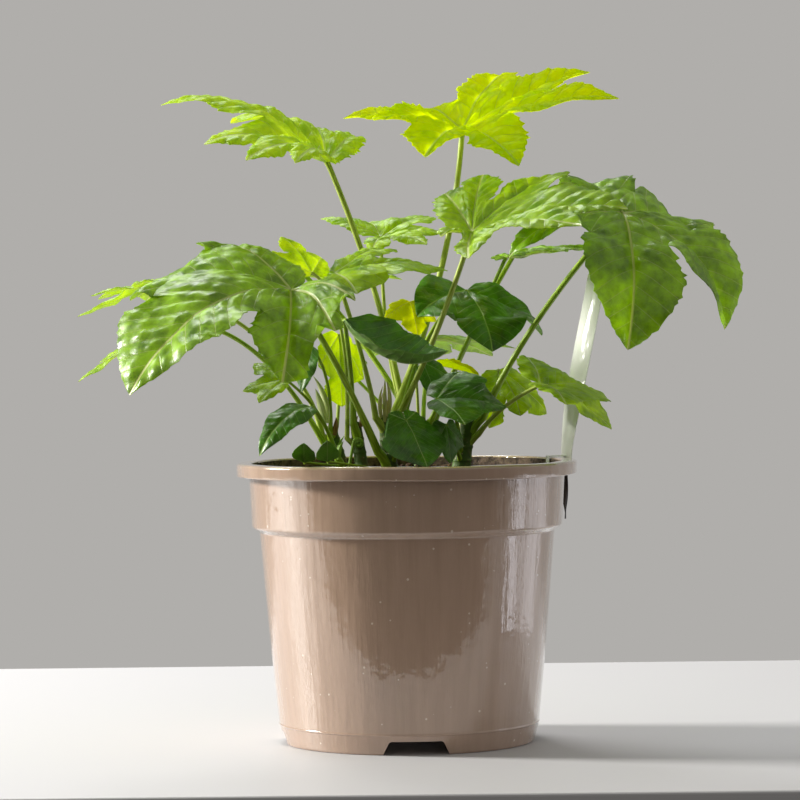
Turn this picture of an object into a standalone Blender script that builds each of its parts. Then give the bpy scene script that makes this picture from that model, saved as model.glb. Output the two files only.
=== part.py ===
"""A young fatsia in a nursery pot: pot, compost, plant label, short stems and lobed leaves.

Metres, +Z up. The pot's axis is the Z axis, its foot stands on Z = 0 and its front is on the -Y side.
Sizes in the tables below are in millimetres and degrees, and MM turns them into metres.
"""
import math
from collections import namedtuple

import bmesh
import bpy
import numpy as np
from mathutils import Vector
from mathutils.bvhtree import BVHTree

MM = 0.001
CLEAR = 0.3

# Pot: a glossy moulded nursery pot of about three litres
POT_SIDES = 60
RIM_RADIUS = 95.0
RIM_TOP = 156.0
RIM_UNDER = 148.7
COLLAR_TOP_RADIUS = 88.0
COLLAR_FOOT_RADIUS = 86.5
COLLAR_FOOT = 120.0
SHOULDER_RADIUS = 82.3
SHOULDER = 117.6
BELLY_RADIUS = 78.0
BELLY = 66.0
SEAM_RADIUS = 72.6
SEAM = 11.0
FOOT_RADIUS = 70.3
WALL = 1.7
FLOOR_TOP = 10.0
FLOOR_UNDER = 8.0
RIM_ROUND = 0.9
NOTCHES = 4
NOTCH_FOOT_WIDTH = 38.0
NOTCH_TOP_WIDTH = 29.0
NOTCH_HEIGHT = 7.6
NOTCH_TURN = 3.0

# Compost: a shallow mound that fills the pot to just under its rim
SOIL_EDGE = 145.0
SOIL_CROWN = 151.5
SOIL_RINGS = (0.0, 14.0, 28.0, 42.0, 56.0, 70.0)
SOIL_SIDES = 40
SOIL_RIPPLE = 0.7

# Label: a blank strip that hooks over the rim behind the right side
LABEL_TURN = 20.0
LABEL_THICK = 0.8
LABEL_TOP = 262.0
LABEL_LEAN = 21.0
LABEL_HALF_WIDTH = 8.5
LABEL_HOOK_HALF_WIDTH = 2.4
LABEL_FOOT = 121.0

# Leaves: how long each lobe is against the middle one, and the stations along it
LOBE_FALL = (1.0, 0.96, 0.88, 0.76, 0.62)
SEAM_STATIONS = (0.5, 1.0)
FREE_STATIONS = (0.2, 0.48, 0.77, 1.0)
LOBE_CUT = 0.42
BEND_STEPS = 12
BLADE_THICK = 0.0135
PETIOLE_SIDES = 6
PETIOLE_STEPS = 6

# Stems: foot on the compost (x, y), tip (x, y, z), radius at foot and tip
STEMS = {
    "middle": ((-9, -6), (-12, -4, 182), 4.6, 3.4),
    "right": ((30, 0), (35, 2, 180), 5.4, 3.8),
    "left": ((-34, -6), (-42, -4, 176), 3.8, 2.9),
    "side": ((-24, -22), (-28, -21, 179), 3.8, 3.0),
    "front": ((-8, -42), (-9, -43, 162), 3.8, 3.2),
    "back": ((9, 38), (8, 44, 180), 4.4, 3.2),
}

# Each leaf: its stem and the share of the stem's height where its stalk starts, the point where its
# lobes meet, where the middle lobe heads (turn about Z, rise, roll about its own axis), its length,
# the first and last lobe, and then what may differ from the rule: angle between lobes, how far they
# bend down, how far they first lift, fullness, the stalk's lean and rise, the lobes that stretch,
# swing, lift or fill out on their own, how far a lobe is joined to the next one, how far the margins
# turn up, how late a lobe bends, and the stalk's girth
Leaf = namedtuple("Leaf", "stem share hub aim size lobes spread bend dish full lean rise "
                  "changes cuts fold late girth",
                  defaults=(42, 20, 0, 0.22, 0.35, 0.50, {}, {}, -0.1, 1.4, 1.25))
Lobe = namedtuple("Lobe", "order direction upward length bend angle full")

LEAVES = {
    "upper_left": Leaf("back", 0.55, (-43, 20, 325), (168, 20, -11), 94, (-3, 3), 32, 61, 16, 0.2, 0.24,
                       0.48, changes={-3: (0.95, 6, 5), 0: (1.17, -2, 6), 1: (0.86, 6, 1),
                       2: (0.96, 6, 5), 3: (0.99, -6, 9)}, fold=-0.18, late=1.8),
    "top": Leaf("middle", 0.93, (34, 45, 343), (21, 13, 20), 99, (-4, 3), 43, 30, 21, 0.23, 0.85, 0.5,
                changes={-4: (1.06, 2, 12, 1.6), -3: (1.12, 0, 2, 0.75), -2: (0.96, -7, -5, 0.9),
                -1: (1.0, 5, 4), 0: (0.84, -5, 5), 1: (0.97, 6, -7, 0.85), 2: (0.6, 0, -14, 0.7),
                3: (1.04, -1, -9)}, cuts={-4: 0.66, -2: 0.38, -1: 0.36, 0: 0.38}, fold=0.19, late=1.2),
    "upper_right": Leaf("middle", 0.8, (37, -45, 282), (-9, 14, 20), 84, (-3, 3), 38, 28, 13, 0.28, 0.56,
                        0.44, changes={-3: (0.75, 10, 14), -2: (0.87, -12, 1), 0: (1.05, -9, -5),
                        1: (0.94, 6, 1), 2: (0.99, 9, 5), 3: (1.0, -9, 4)}, cuts={0: 0.5, 1: 0.29,
                        2: 0.6}, fold=0.17),
    "right_big": Leaf("right", 0.9, (121, -20, 292), (-15, -16, 15), 88, (-2, 2), 62, 76, 7, 0.36, 0.33,
                      0.5, changes={-2: (0.95, -20, -1, 0.85), -1: (1.12, -1, -9), 0: (1.05, -9, -2),
                      1: (0.79, -3, 3), 2: (0.94, 11, 11)}, cuts={-2: 0.32, -1: 0.37}, fold=0.31, late=1.1),
    "middle_dark": Leaf("middle", 0.62, (35, 16, 251), (-62, -20, -3), 52, (-1, 1), 60, 41, -2, 0.4, 0.27,
                        0.72, changes={-1: (0.92, -4, 4, 1.25), 0: (1.04, -6, -2), 1: (1.04, 6, -2)},
                        cuts={-1: 0.69, 0: 0.5}, fold=0.3),
    "left_big": Leaf("front", 0.85, (-61, -75, 251), (-143, 5, -15), 94, (-2, 3), 38, 69, 16, 0.29, 0.41,
                     0.53, changes={-2: (0.84, -7, 20, 1.2), -1: (1.03, -4, 3), 0: (1.31, 7, -8),
                     1: (0.78, 23, -22, 1.1), 2: (0.68, 9, 3, 1.2), 3: (0.72, -15, 20)}, cuts={-2: 0.65,
                     -1: 0.65, 0: 0.35, 1: 0.86, 2: 0.82}, fold=0.07, late=0.9),
    "left_behind": Leaf("side", 0.6, (-51, -22, 261), (138, 39, 1), 32, (-1, 1), 58, 33, 10, 0.36, -0.19,
                        0.84, changes={-1: (1.0, 4, -1), 0: (1.01, -2, 5)}),
    "centre_light": Leaf("middle", 0.88, (-38, -28, 261), (6, 10, 13), 62, (-1, 1), 44, 37, 8, 0.26, 0.14,
                         0.31, changes={-1: (0.58, -34, -7, 1.5), 0: (1.04, 3, -3), 1: (0.96, 1, 4)},
                         cuts={-1: 0.5, 0: 0.37}),
    "centre_back": Leaf("back", 0.75, (-13, 40, 282), (50, 14, 8), 44, (-3, 2), 50, 38, 14, 0.3, 0.95,
                        0.27, changes={-2: (1.0, 2, 3), -1: (0.85, 0, 0), 0: (1.09, -4, 4),
                        2: (1.05, 0, 13)}),
    "left_far": Leaf("left", 0.72, (-133, 5, 256), (182, -10, 5), 53, (-2, 2), 36, 15, 4, 0.2, 0.12, 0.61,
                     changes={-1: (0.99, 0, 5), 0: (1.0, -1, -7)}),
    "left_lower": Leaf("left", 0.5, (-130, -25, 233), (186, -28, 0), 58, (-1, 1), 40, 11, 4, 0.2, 0.45,
                       1.1, changes={0: (1.01, 0, -3)}),
    "young_yellow": Leaf("back", 0.4, (3, 6, 245), (-79, -39, -3), 22, (-1, 1), 51, 32, 0, 0.34, 0.18,
                         0.5, changes={-1: (0.99, -1, 5), 0: (1.08, 5, -4), 1: (0.91, -2, -1)},
                         cuts={-1: 0.55, 0: 0.55}),
    "centre_dark": Leaf("side", 0.9, (-33, -48, 235), (-1, -54, 27), 67, (0, 0), 46, -92, 0, 0.36, 0.12,
                        0.48, changes={0: (1.04, -1, -2)}, fold=0.68, late=1.2),
    "front_heart": Leaf("front", 0.9, (0, -54, 180), (-56, -54, 2), 30, (-1, 1), 122, 14, 0, 0.6, 0.13,
                        0.63, changes={-1: (0.36, 0, 0), 0: (1.01, 4, 3), 1: (0.36, 0, 0)}, cuts={-1: 0.5,
                        0: 0.5}),
    "right_dark": Leaf("right", 0.45, (17, -32, 191), (-1, 2, 16), 39, (-1, 1), 61, 27, 6, 0.36, -0.07,
                       0.89, changes={-1: (0.99, -5, -3), 0: (1.0, 0, -5), 1: (1.0, 6, 13)},
                       cuts={-1: 0.6, 0: 0.7}),
    "right_rolled": Leaf("right", 0.86, (17, 22, 210), (-18, -7, 0), 30, (0, 0), 50, 21, 0, 0.34, 0.09,
                         0.5, changes={0: (0.99, -1, -3)}, fold=0.5),
    "right_pale": Leaf("right", 0.62, (53, 34, 206), (-52, -48, 7), 39, (-1, 1), 42, 37, 6, 0.34, 0.39,
                       0.4, changes={-1: (1.09, 11, -4), 0: (0.88, -4, 7), 1: (1.02, -4, -5)},
                       cuts={-1: 0.6, 0: 0.65}),
    "right_low": Leaf("right", 0.62, (75, -16, 198), (-15, -20, 7), 50, (-1, 2), 58, 32, 6, 0.32, 0.33,
                      0.6, changes={-1: (0.98, 0, 10), 0: (0.95, -3, -5), 1: (1.08, 1, 4),
                      2: (1.03, 4, 11)}, cuts={-1: 0.5, 0: 0.6, 1: 0.5}),
    "right_behind": Leaf("back", 0.86, (58, 34, 270), (0, 8, 0), 54, (-2, 1), 44, 14, 4, 0.26, 0.51, 0.52),
    "left_small": Leaf("left", 0.42, (-66, -40, 203), (184, -4, -30), 25, (-1, 1), 49, 18, 0, 0.34, 0.09,
                       0.55, changes={-1: (1.04, -2, 7), 0: (0.96, 2, -5)}),
    "left_hanging": Leaf("left", 0.86, (-51, -52, 221), (-122, -67, -3), 27, (0, 0), 46, 12, 0, 0.32,
                         -0.2, 0.63, changes={0: (1.0, -2, 1)}),
    "left_drooping": Leaf("left", 0.3, (-51, -46, 188), (233, -3, -17), 51, (0, 0), 40, 76, 0, 0.26, 0.28,
                          0.54, changes={0: (1.03, 4, 2)}),
    "left_lit": Leaf("left", 0.9, (-37, 6, 227), (-71, -74, -19), 35, (-1, 1), 36, 6, 0, 0.34, 0.95, 0.1,
                     changes={-1: (0.87, -6, 10), 0: (1.18, 0, -3), 1: (0.86, -5, 1)}, cuts={-1: 0.75,
                     0: 0.75}),
    "deep_right": Leaf("right", 0.25, (22, -32, 177), (-46, -74, -10), 23, (-1, 1), 53, 14, 0, 0.46, 0.39,
                       0.45, changes={-1: (1.03, 5, 1), 0: (0.96, -1, -1), 1: (0.95, 3, -4)}),
    "right_shade": Leaf("middle", 0.38, (10, -3, 211), (-44, -58, 4), 22, (0, 1), 54, 14, 0, 0.46, 0.26,
                        0.49, changes={0: (1.02, -1, -2), 1: (0.96, 4, 1)}, cuts={0: 0.6}),
    "back_left": Leaf("back", 0.96, (-58, 66, 262), (116, 0, 0), 80, (-2, 3), 40, 16, 4, 0.26, 0.35, 0.5),
    "back_right": Leaf("back", 0.7, (83, 71, 302), (70, 0, 0), 72, (-3, 3), 40, 16, 4, 0.26, 0.35, 0.5),
    "back_low": Leaf("back", 0.62, (14, 81, 225), (88, -6, 0), 58, (-2, 2), 42, 18, 0, 0.26, 0.35, 0.5),
    "back_small": Leaf("back", 0.42, (-42, 66, 214), (140, 4, 0), 38, (-2, 2), 44, 20, 0, 0.26, 0.35, 0.5),
    "rim_round_left": Leaf("left", 0.08, (-56, -34, 157), (-100, 54, 0), 15, (0, 0), 40, 5, 0, 0.62, 0.35,
                           0.5, changes={0: (0.96, 7, -2)}),
    "rim_round_right": Leaf("front", 0.12, (-43, -54, 158), (-80, 57, 0), 15, (0, 0), 40, 5, 0, 0.58,
                            0.35, 0.5, changes={0: (0.98, -4, -1)}),
}

MATERIALS = {
    "taupe plastic": ((0.349, 0.220, 0.153), 0.18),
    "compost": ((0.022, 0.013, 0.008), 0.95),
    "clear white plastic": ((0.62, 0.66, 0.62), 0.35),
    "green stem": ((0.10, 0.16, 0.03), 0.55),
    "sunlit leaf": ((0.23, 0.44, 0.02), 0.38),
    "shaded leaf": ((0.045, 0.15, 0.012), 0.30),
}
SUNLIT = ("upper_left", "top", "upper_right", "centre_light", "young_yellow", "right_pale", "right_low",
          "left_far", "left_lit", "centre_back", "left_behind", "right_rolled")


def clear_scene():
    """Remove every object that the file opens with."""
    for item in list(bpy.data.objects):
        bpy.data.objects.remove(item, do_unlink=True)


def material(name):
    """Return the named Principled material, made once."""
    found = bpy.data.materials.get(name)
    if found:
        return found
    colour, roughness = MATERIALS[name]
    made = bpy.data.materials.new(name)
    made.use_nodes = True
    shader = made.node_tree.nodes["Principled BSDF"]
    shader.inputs["Base Color"].default_value = (*colour, 1.0)
    shader.inputs["Roughness"].default_value = roughness
    return made


def add_body(name, points, faces, slot, origin=(0.0, 0.0, 0.0)):
    """Make one object from points in millimetres, faces outwards, with its origin at a given point."""
    mesh = bpy.data.meshes.new(name)
    origin = np.array(origin, float)
    mesh.from_pydata([Vector(np.array(point) - origin) * MM for point in points], [], faces)
    work = bmesh.new()
    work.from_mesh(mesh)
    bmesh.ops.remove_doubles(work, verts=work.verts, dist=0.00002)
    bmesh.ops.recalc_face_normals(work, faces=work.faces)
    bmesh.ops.triangulate(work, faces=work.faces)
    if work.calc_volume(signed=True) < 0:
        bmesh.ops.reverse_faces(work, faces=work.faces)
    work.to_mesh(mesh)
    work.free()
    body = bpy.data.objects.new(name, mesh)
    bpy.context.scene.collection.objects.link(body)
    body.location = Vector(origin) * MM
    mesh.materials.append(material(slot))
    return body


def solid_volume(mesh):
    """Volume of a closed mesh, and 0 where an edge lacks one of its two faces."""
    work = bmesh.new()
    work.from_mesh(mesh)
    closed = all(len(edge.link_faces) == 2 for edge in work.edges)
    volume = work.calc_volume(signed=True) if closed and work.faces else 0.0
    work.free()
    return volume


def boolean_with(body, others, operation):
    """Join or cut the body by the other solids with one Boolean on a collection, applied."""
    group = bpy.data.collections.new(body.name + " operands")
    for item in others:
        group.objects.link(item)
    before = body.data.copy()
    volumes = [solid_volume(item.data) for item in [body] + others]
    least = 0.9 * sum(volumes) if operation == "UNION" else 0.5 * volumes[0]
    for solver in ("EXACT", "MANIFOLD"):
        step = body.modifiers.new(operation.lower(), "BOOLEAN")
        step.operation = operation
        step.operand_type = "COLLECTION"
        step.collection = group
        step.solver = solver
        graph = bpy.context.evaluated_depsgraph_get()
        baked = bpy.data.meshes.new_from_object(body.evaluated_get(graph))
        body.modifiers.clear()
        work = bmesh.new()
        work.from_mesh(baked)
        bmesh.ops.dissolve_degenerate(work, edges=work.edges, dist=0.00001)
        bmesh.ops.triangulate(work, faces=work.faces)
        work.to_mesh(baked)
        work.free()
        body.data = baked
        if solid_volume(baked) > least:
            break
        body.data = before.copy()
    else:
        raise RuntimeError(body.name + " doesn't join into one closed solid")
    for item in others:
        bpy.data.objects.remove(item, do_unlink=True)
    bpy.data.collections.remove(group)
    return body


def turned(name, profile, sides, slot, ripple=None):
    """Turn a closed profile of (radius, height) about Z; a radius of 0 is one point on the axis."""
    points = []
    rings = []
    for radius, height in profile:
        if radius == 0.0:
            rings.append([len(points)])
            points.append((0.0, 0.0, height))
            continue
        ring = []
        for side in range(sides):
            turn = 2 * math.pi * side / sides
            x, y = radius * math.cos(turn), radius * math.sin(turn)
            ring.append(len(points))
            points.append((x, y, height + (ripple(x, y, height) if ripple else 0.0)))
        rings.append(ring)
    faces = []
    for low, high in zip(rings, rings[1:] + rings[:1]):
        if len(low) == 1 and len(high) == 1:
            continue
        for side in range(sides):
            after = (side + 1) % sides
            corners = [low[side % len(low)], low[after % len(low)],
                       high[after % len(high)], high[side % len(high)]]
            faces.append(list(dict.fromkeys(corners)))
    return add_body(name, points, faces, slot)


def pot_profile():
    """Outline of the pot's wall from the foot up the outside and down the inside to the floor."""
    outside = [(FOOT_RADIUS, 0.0), (SEAM_RADIUS, SEAM), (BELLY_RADIUS, BELLY),
               (SHOULDER_RADIUS, SHOULDER), (COLLAR_FOOT_RADIUS, COLLAR_FOOT),
               (COLLAR_TOP_RADIUS, RIM_UNDER), (RIM_RADIUS, RIM_UNDER),
               (RIM_RADIUS, RIM_TOP - RIM_ROUND), (RIM_RADIUS - RIM_ROUND, RIM_TOP)]
    inside = [(COLLAR_TOP_RADIUS - WALL + RIM_ROUND, RIM_TOP),
              (COLLAR_TOP_RADIUS - WALL, RIM_TOP - RIM_ROUND),
              (COLLAR_FOOT_RADIUS - WALL, COLLAR_FOOT + WALL),
              (SHOULDER_RADIUS - WALL, SHOULDER + 0.4 * WALL),
              (BELLY_RADIUS - WALL, BELLY), (SEAM_RADIUS - WALL, FLOOR_TOP + 2.0),
              (SEAM_RADIUS - WALL - 1.5, FLOOR_TOP), (0.0, FLOOR_TOP)]
    under = [(0.0, FLOOR_UNDER), (SEAM_RADIUS - WALL - 1.6, FLOOR_UNDER), (FOOT_RADIUS - WALL - 0.3, 0.0)]
    return outside + inside + under


def build_pot():
    """The pot with its drain notches cut through the foot."""
    pot = turned("pot", pot_profile(), POT_SIDES, "taupe plastic")
    cutters = []
    reach = FOOT_RADIUS - 12.0
    for count in range(NOTCHES):
        turn = math.radians(-90.0 + NOTCH_TURN + 360.0 * count / NOTCHES)
        out = (math.cos(turn), math.sin(turn))
        side = (-out[1], out[0])
        section = [(-NOTCH_FOOT_WIDTH / 2 - 1.2, -2.0), (NOTCH_FOOT_WIDTH / 2 + 1.2, -2.0),
                   (NOTCH_TOP_WIDTH / 2 + 1.4, NOTCH_HEIGHT - 1.6), (NOTCH_TOP_WIDTH / 2 - 1.0, NOTCH_HEIGHT),
                   (-NOTCH_TOP_WIDTH / 2 + 1.0, NOTCH_HEIGHT), (-NOTCH_TOP_WIDTH / 2 - 1.4, NOTCH_HEIGHT - 1.6)]
        points = []
        for distance in (reach, FOOT_RADIUS + 12.0):
            for across, height in section:
                points.append((out[0] * distance + side[0] * across,
                               out[1] * distance + side[1] * across, height))
        count_round = len(section)
        faces = [list(range(count_round)), list(range(2 * count_round - 1, count_round - 1, -1))]
        for corner in range(count_round):
            after = (corner + 1) % count_round
            faces.append([corner, after, after + count_round, corner + count_round])
        cutter = add_body(f"notch cutter {count}", points, faces, "taupe plastic")
        cutter.hide_render = True
        cutter.display_type = "WIRE"
        cutters.append(cutter)
    return boolean_with(pot, cutters, "DIFFERENCE")


def soil_ripple(x, y, height):
    """Small rise and fall of the compost's top, none on its sides and underside."""
    if height < SOIL_EDGE - 1.0:
        return 0.0
    return SOIL_RIPPLE * math.sin(0.11 * x + 1.3) * math.cos(0.09 * y - 0.4)


def build_soil():
    """The compost, clear of the pot's wall and floor all round."""
    wall = WALL + CLEAR
    span = SHOULDER_RADIUS - wall
    top = []
    for radius in SOIL_RINGS:
        drop = (radius / span) ** 2
        top.append((radius, SOIL_CROWN + (SOIL_EDGE - SOIL_CROWN) * drop))
    slope = (COLLAR_TOP_RADIUS - COLLAR_FOOT_RADIUS) / (RIM_UNDER - COLLAR_FOOT)
    edge_radius = COLLAR_FOOT_RADIUS + slope * (SOIL_EDGE - COLLAR_FOOT) - wall - 0.3
    sides = [(edge_radius, SOIL_EDGE - 0.5), (COLLAR_FOOT_RADIUS - wall - 0.1, COLLAR_FOOT + WALL + 0.6),
             (SHOULDER_RADIUS - wall - 0.2, SHOULDER + 0.4 * WALL - 0.2), (BELLY_RADIUS - wall - 0.2, BELLY),
             (SEAM_RADIUS - wall - 0.3, FLOOR_TOP + 3.0), (SEAM_RADIUS - wall - 2.6, FLOOR_TOP + CLEAR),
             (0.0, FLOOR_TOP + CLEAR)]
    return turned("compost", top + sides, SOIL_SIDES, "compost", soil_ripple)


def ribbon(name, path, half_widths, thick, turn, slot):
    """A flat strip of even thickness along a path of (radius, height), square to the turn about Z."""
    out = (math.cos(turn), math.sin(turn))
    side = (-out[1], out[0])
    points = []
    for index, (radius, height) in enumerate(path):
        before = path[max(index - 1, 0)]
        after = path[min(index + 1, len(path) - 1)]
        first = np.array([radius - before[0], height - before[1]], float)
        second = np.array([after[0] - radius, after[1] - height], float)
        first = second if not first.any() else first / np.linalg.norm(first)
        second = first if not second.any() else second / np.linalg.norm(second)
        first = first / np.linalg.norm(first)
        along = (first + second) / np.linalg.norm(first + second)
        reach = thick / 2 / max(0.5, float(np.dot(along, first)))
        across = (-along[1] * reach, along[0] * reach)
        for part in (-1, 1):
            for hand in (-1, 1):
                r = radius + part * across[0]
                z = height + part * across[1]
                w = hand * half_widths[index]
                points.append((out[0] * r + side[0] * w, out[1] * r + side[1] * w, z))
    faces = [[0, 1, 3, 2]]
    for index in range(len(path) - 1):
        low, high = 4 * index, 4 * index + 4
        for one, two in ((0, 1), (1, 3), (3, 2), (2, 0)):
            faces.append([low + one, low + two, high + two, high + one])
    last = 4 * (len(path) - 1)
    faces.append([last, last + 2, last + 3, last + 1])
    return add_body(name, points, faces, slot)


def build_label():
    """The blank label: a strip that leans outwards past the rim, with a hook over it."""
    turn = math.radians(LABEL_TURN)
    half = LABEL_THICK / 2
    over = RIM_TOP + CLEAR + half
    outer = RIM_RADIUS + CLEAR + half
    inner = COLLAR_TOP_RADIUS - WALL - CLEAR - half - 0.3
    strip = ribbon("label", [(outer, LABEL_FOOT), (outer, RIM_UNDER), (outer, RIM_TOP + 2.0),
                             (outer + 0.28 * LABEL_LEAN, RIM_TOP + 38.0), (outer + LABEL_LEAN, LABEL_TOP)],
                   [1.2, 2.6, 4.6, LABEL_HALF_WIDTH, LABEL_HALF_WIDTH], LABEL_THICK, turn,
                   "clear white plastic")
    hook = ribbon("label hook", [(outer, over), (inner, over), (inner, RIM_UNDER)],
                  [LABEL_HOOK_HALF_WIDTH] * 3, LABEL_THICK, turn, "clear white plastic")
    return boolean_with(strip, [hook], "UNION")


def tube(name, path, radii, sides, slot, first_normal):
    """A tapering tube along a path, its first cut turned to face a given way; its origin is there."""
    path = [np.array(p, float) for p in path]
    points = []
    guide = np.array([0.13, 0.21, 0.97])
    for index, centre in enumerate(path):
        ahead = path[min(index + 1, len(path) - 1)] - path[max(index - 1, 0)]
        along = ahead / np.linalg.norm(ahead)
        cut = along
        if index == 0:
            cut = first_normal / np.linalg.norm(first_normal)
        across = np.cross(along, guide)
        if np.linalg.norm(across) < 0.2:
            across = np.cross(along, np.array([1.0, 0.0, 0.0]))
        across = across / np.linalg.norm(across)
        other = np.cross(along, across)
        for side in range(sides):
            turn = 2 * math.pi * (side + 0.5) / sides
            spoke = radii[index] * (math.cos(turn) * across + math.sin(turn) * other)
            slide = np.dot(spoke, cut) / max(0.35, abs(float(np.dot(along, cut))))
            sign = 1.0 if np.dot(along, cut) >= 0 else -1.0
            points.append(centre + spoke - sign * slide * along)
    faces = [list(range(sides))]
    for index in range(len(path) - 1):
        for side in range(sides):
            after = (side + 1) % sides
            low, high = index * sides, (index + 1) * sides
            faces.append([low + side, low + after, high + after, high + side])
    last = (len(path) - 1) * sides
    faces.append(list(range(last + sides - 1, last - 1, -1)))
    return add_body(name, points, faces, slot, path[0])


def build_stem(name, soil_tree):
    """One short upright stem, cut flat just above the compost, with a ringed joint and a bud."""
    foot, tip, foot_radius, tip_radius = STEMS[name]
    highest = 0.0
    for side in range(12):
        turn = 2 * math.pi * side / 12
        for reach in (0.0, foot_radius + 0.6):
            start = Vector((foot[0] + reach * math.cos(turn), foot[1] + reach * math.sin(turn), 400.0)) * MM
            hit = soil_tree.ray_cast(start, Vector((0.0, 0.0, -1.0)))[0]
            highest = max(highest, hit.z / MM)
    base = np.array([foot[0], foot[1], highest + CLEAR])
    top = np.array(tip, float)
    path = []
    radii = []
    for share, swell in ((0.0, 1.12), (0.12, 1.0), (0.45, 1.0), (0.5, 1.08), (0.56, 1.0), (0.92, 1.0)):
        path.append(base + (top - base) * share)
        radii.append((foot_radius + (tip_radius - foot_radius) * share) * swell)
    rise = (top - base) / np.linalg.norm(top - base)
    path += [top, top + rise * 6.0, top + rise * 14.0]
    radii += [tip_radius * 0.8, tip_radius * 0.6, 0.5]
    tube("stem_" + name, path, radii, 8, "green stem", np.array([0.0, 0.0, 1.0]))
    return base, top, foot_radius, tip_radius


def leaf_axes(head, rise, roll):
    """Directions of a leaf: along its middle lobe, to its left, and out of its upper face."""
    head, rise, roll = (math.radians(value) for value in (head, rise, roll))
    along = np.array([math.cos(rise) * math.cos(head), math.cos(rise) * math.sin(head), math.sin(rise)])
    left = np.array([-math.sin(head), math.cos(head), 0.0])
    face = np.cross(along, left)
    return (along, math.cos(roll) * left + math.sin(roll) * face,
            math.cos(roll) * face - math.sin(roll) * left)


def on_bend(start, direction, face, length, bend, late, share):
    """Point and upward direction a share of the way along a lobe that bends down more and more."""
    turns = bend * (share * (np.arange(BEND_STEPS) + 0.5) / BEND_STEPS) ** late
    reach = length * share / BEND_STEPS
    point = start + reach * (np.cos(turns).sum() * direction - np.sin(turns).sum() * face)
    last = bend * share ** late
    return point, math.cos(last) * face + math.sin(last) * direction


def along_lobe(leaf, lobe, share):
    """Point and upward direction a share of the way along a leaf's lobe."""
    hub = np.array(leaf.hub, float)
    return on_bend(hub, lobe.direction, lobe.upward, lobe.length, lobe.bend, leaf.late, share)


def stations_along(cut):
    """Shares of a lobe's length where its outline has points, first those up to the cut."""
    stations = [cut * share for share in SEAM_STATIONS]
    return stations + [cut + (1 - cut) * share for share in FREE_STATIONS]


def free_width(share):
    """Half width of a lobe's free part against its length: fullest near a third, pointed."""
    return 1.72 * share ** 0.55 * (1 - share) ** 0.9


def leaf_lobes(leaf):
    """The lobes of a leaf by its rule, from the rightmost to the leftmost."""
    along, left, face = leaf_axes(*leaf.aim)
    lobes = []
    for order in range(leaf.lobes[0], leaf.lobes[1] + 1):
        stretch, swing, lift, *fullness = leaf.changes.get(order, (1.0, 0.0, 0.0))
        angle = math.radians(order * leaf.spread + swing)
        flat = math.cos(angle) * along + math.sin(angle) * left
        lift = math.radians(lift + leaf.dish)
        length = leaf.size * LOBE_FALL[abs(order)] * stretch
        direction = math.cos(lift) * flat + math.sin(lift) * face
        upward = math.cos(lift) * face - math.sin(lift) * flat
        bend = math.radians(leaf.bend) * math.sqrt(length / leaf.size)
        full = leaf.full * (fullness[0] if fullness else 1.0)
        lobes.append(Lobe(order, direction, upward, length, bend, angle, full))
    return lobes


def seam_between(leaf, one, two):
    """Points of the line two lobes share, how far it reaches, and half the angle between them."""
    half = (two.angle - one.angle) / 2
    length = (one.length + two.length) / 2
    cut = leaf.cuts.get(one.order, LOBE_CUT)
    direction = (one.direction + two.direction) / np.linalg.norm(one.direction + two.direction)
    upward = one.upward + two.upward
    upward = upward - np.dot(upward, direction) * direction
    upward = upward / np.linalg.norm(upward)
    row = []
    for share in SEAM_STATIONS:
        point, up = on_bend(np.array(leaf.hub, float), direction, upward, length,
                            (one.bend + two.bend) / 2, leaf.late, cut * share / max(math.cos(half), 0.5))
        row.append(point + 0.03 * length * share * up)
    return row, cut * length, half


def lobe_margin(leaf, lobe, hand, seam, cut, room):
    """Points of a lobe's margin on one hand, from the end of its seam to just before its tip."""
    side = hand * np.cross(lobe.upward, lobe.direction)
    slip = np.zeros(3)
    if seam:
        point, up = along_lobe(leaf, lobe, cut)
        slip = seam[0][-1] - point - (side + leaf.fold * up) * 0.9 * seam[1] * math.tan(seam[2])
    row = []
    for share in stations_along(cut)[len(SEAM_STATIONS) if seam else 0:-1]:
        free = (share - cut) / (1 - cut) if seam else 1.0
        if seam:
            wide = 0.9 * (1 - free) * seam[1] * math.tan(seam[2]) / lobe.length
            wide += lobe.full * free_width(0.12 + 0.88 * free) * free / (free + 0.12)
            wide = min(wide, 0.94 * math.tan(seam[2]) * share)
        else:
            wide = min(1.12 * lobe.full * free_width(0.04 + 0.96 * share), 0.94 * room * share)
        point, up = along_lobe(leaf, lobe, share)
        row.append(point + (side + leaf.fold * up) * wide * lobe.length + slip * (1 - free) ** 5)
    return row


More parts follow.
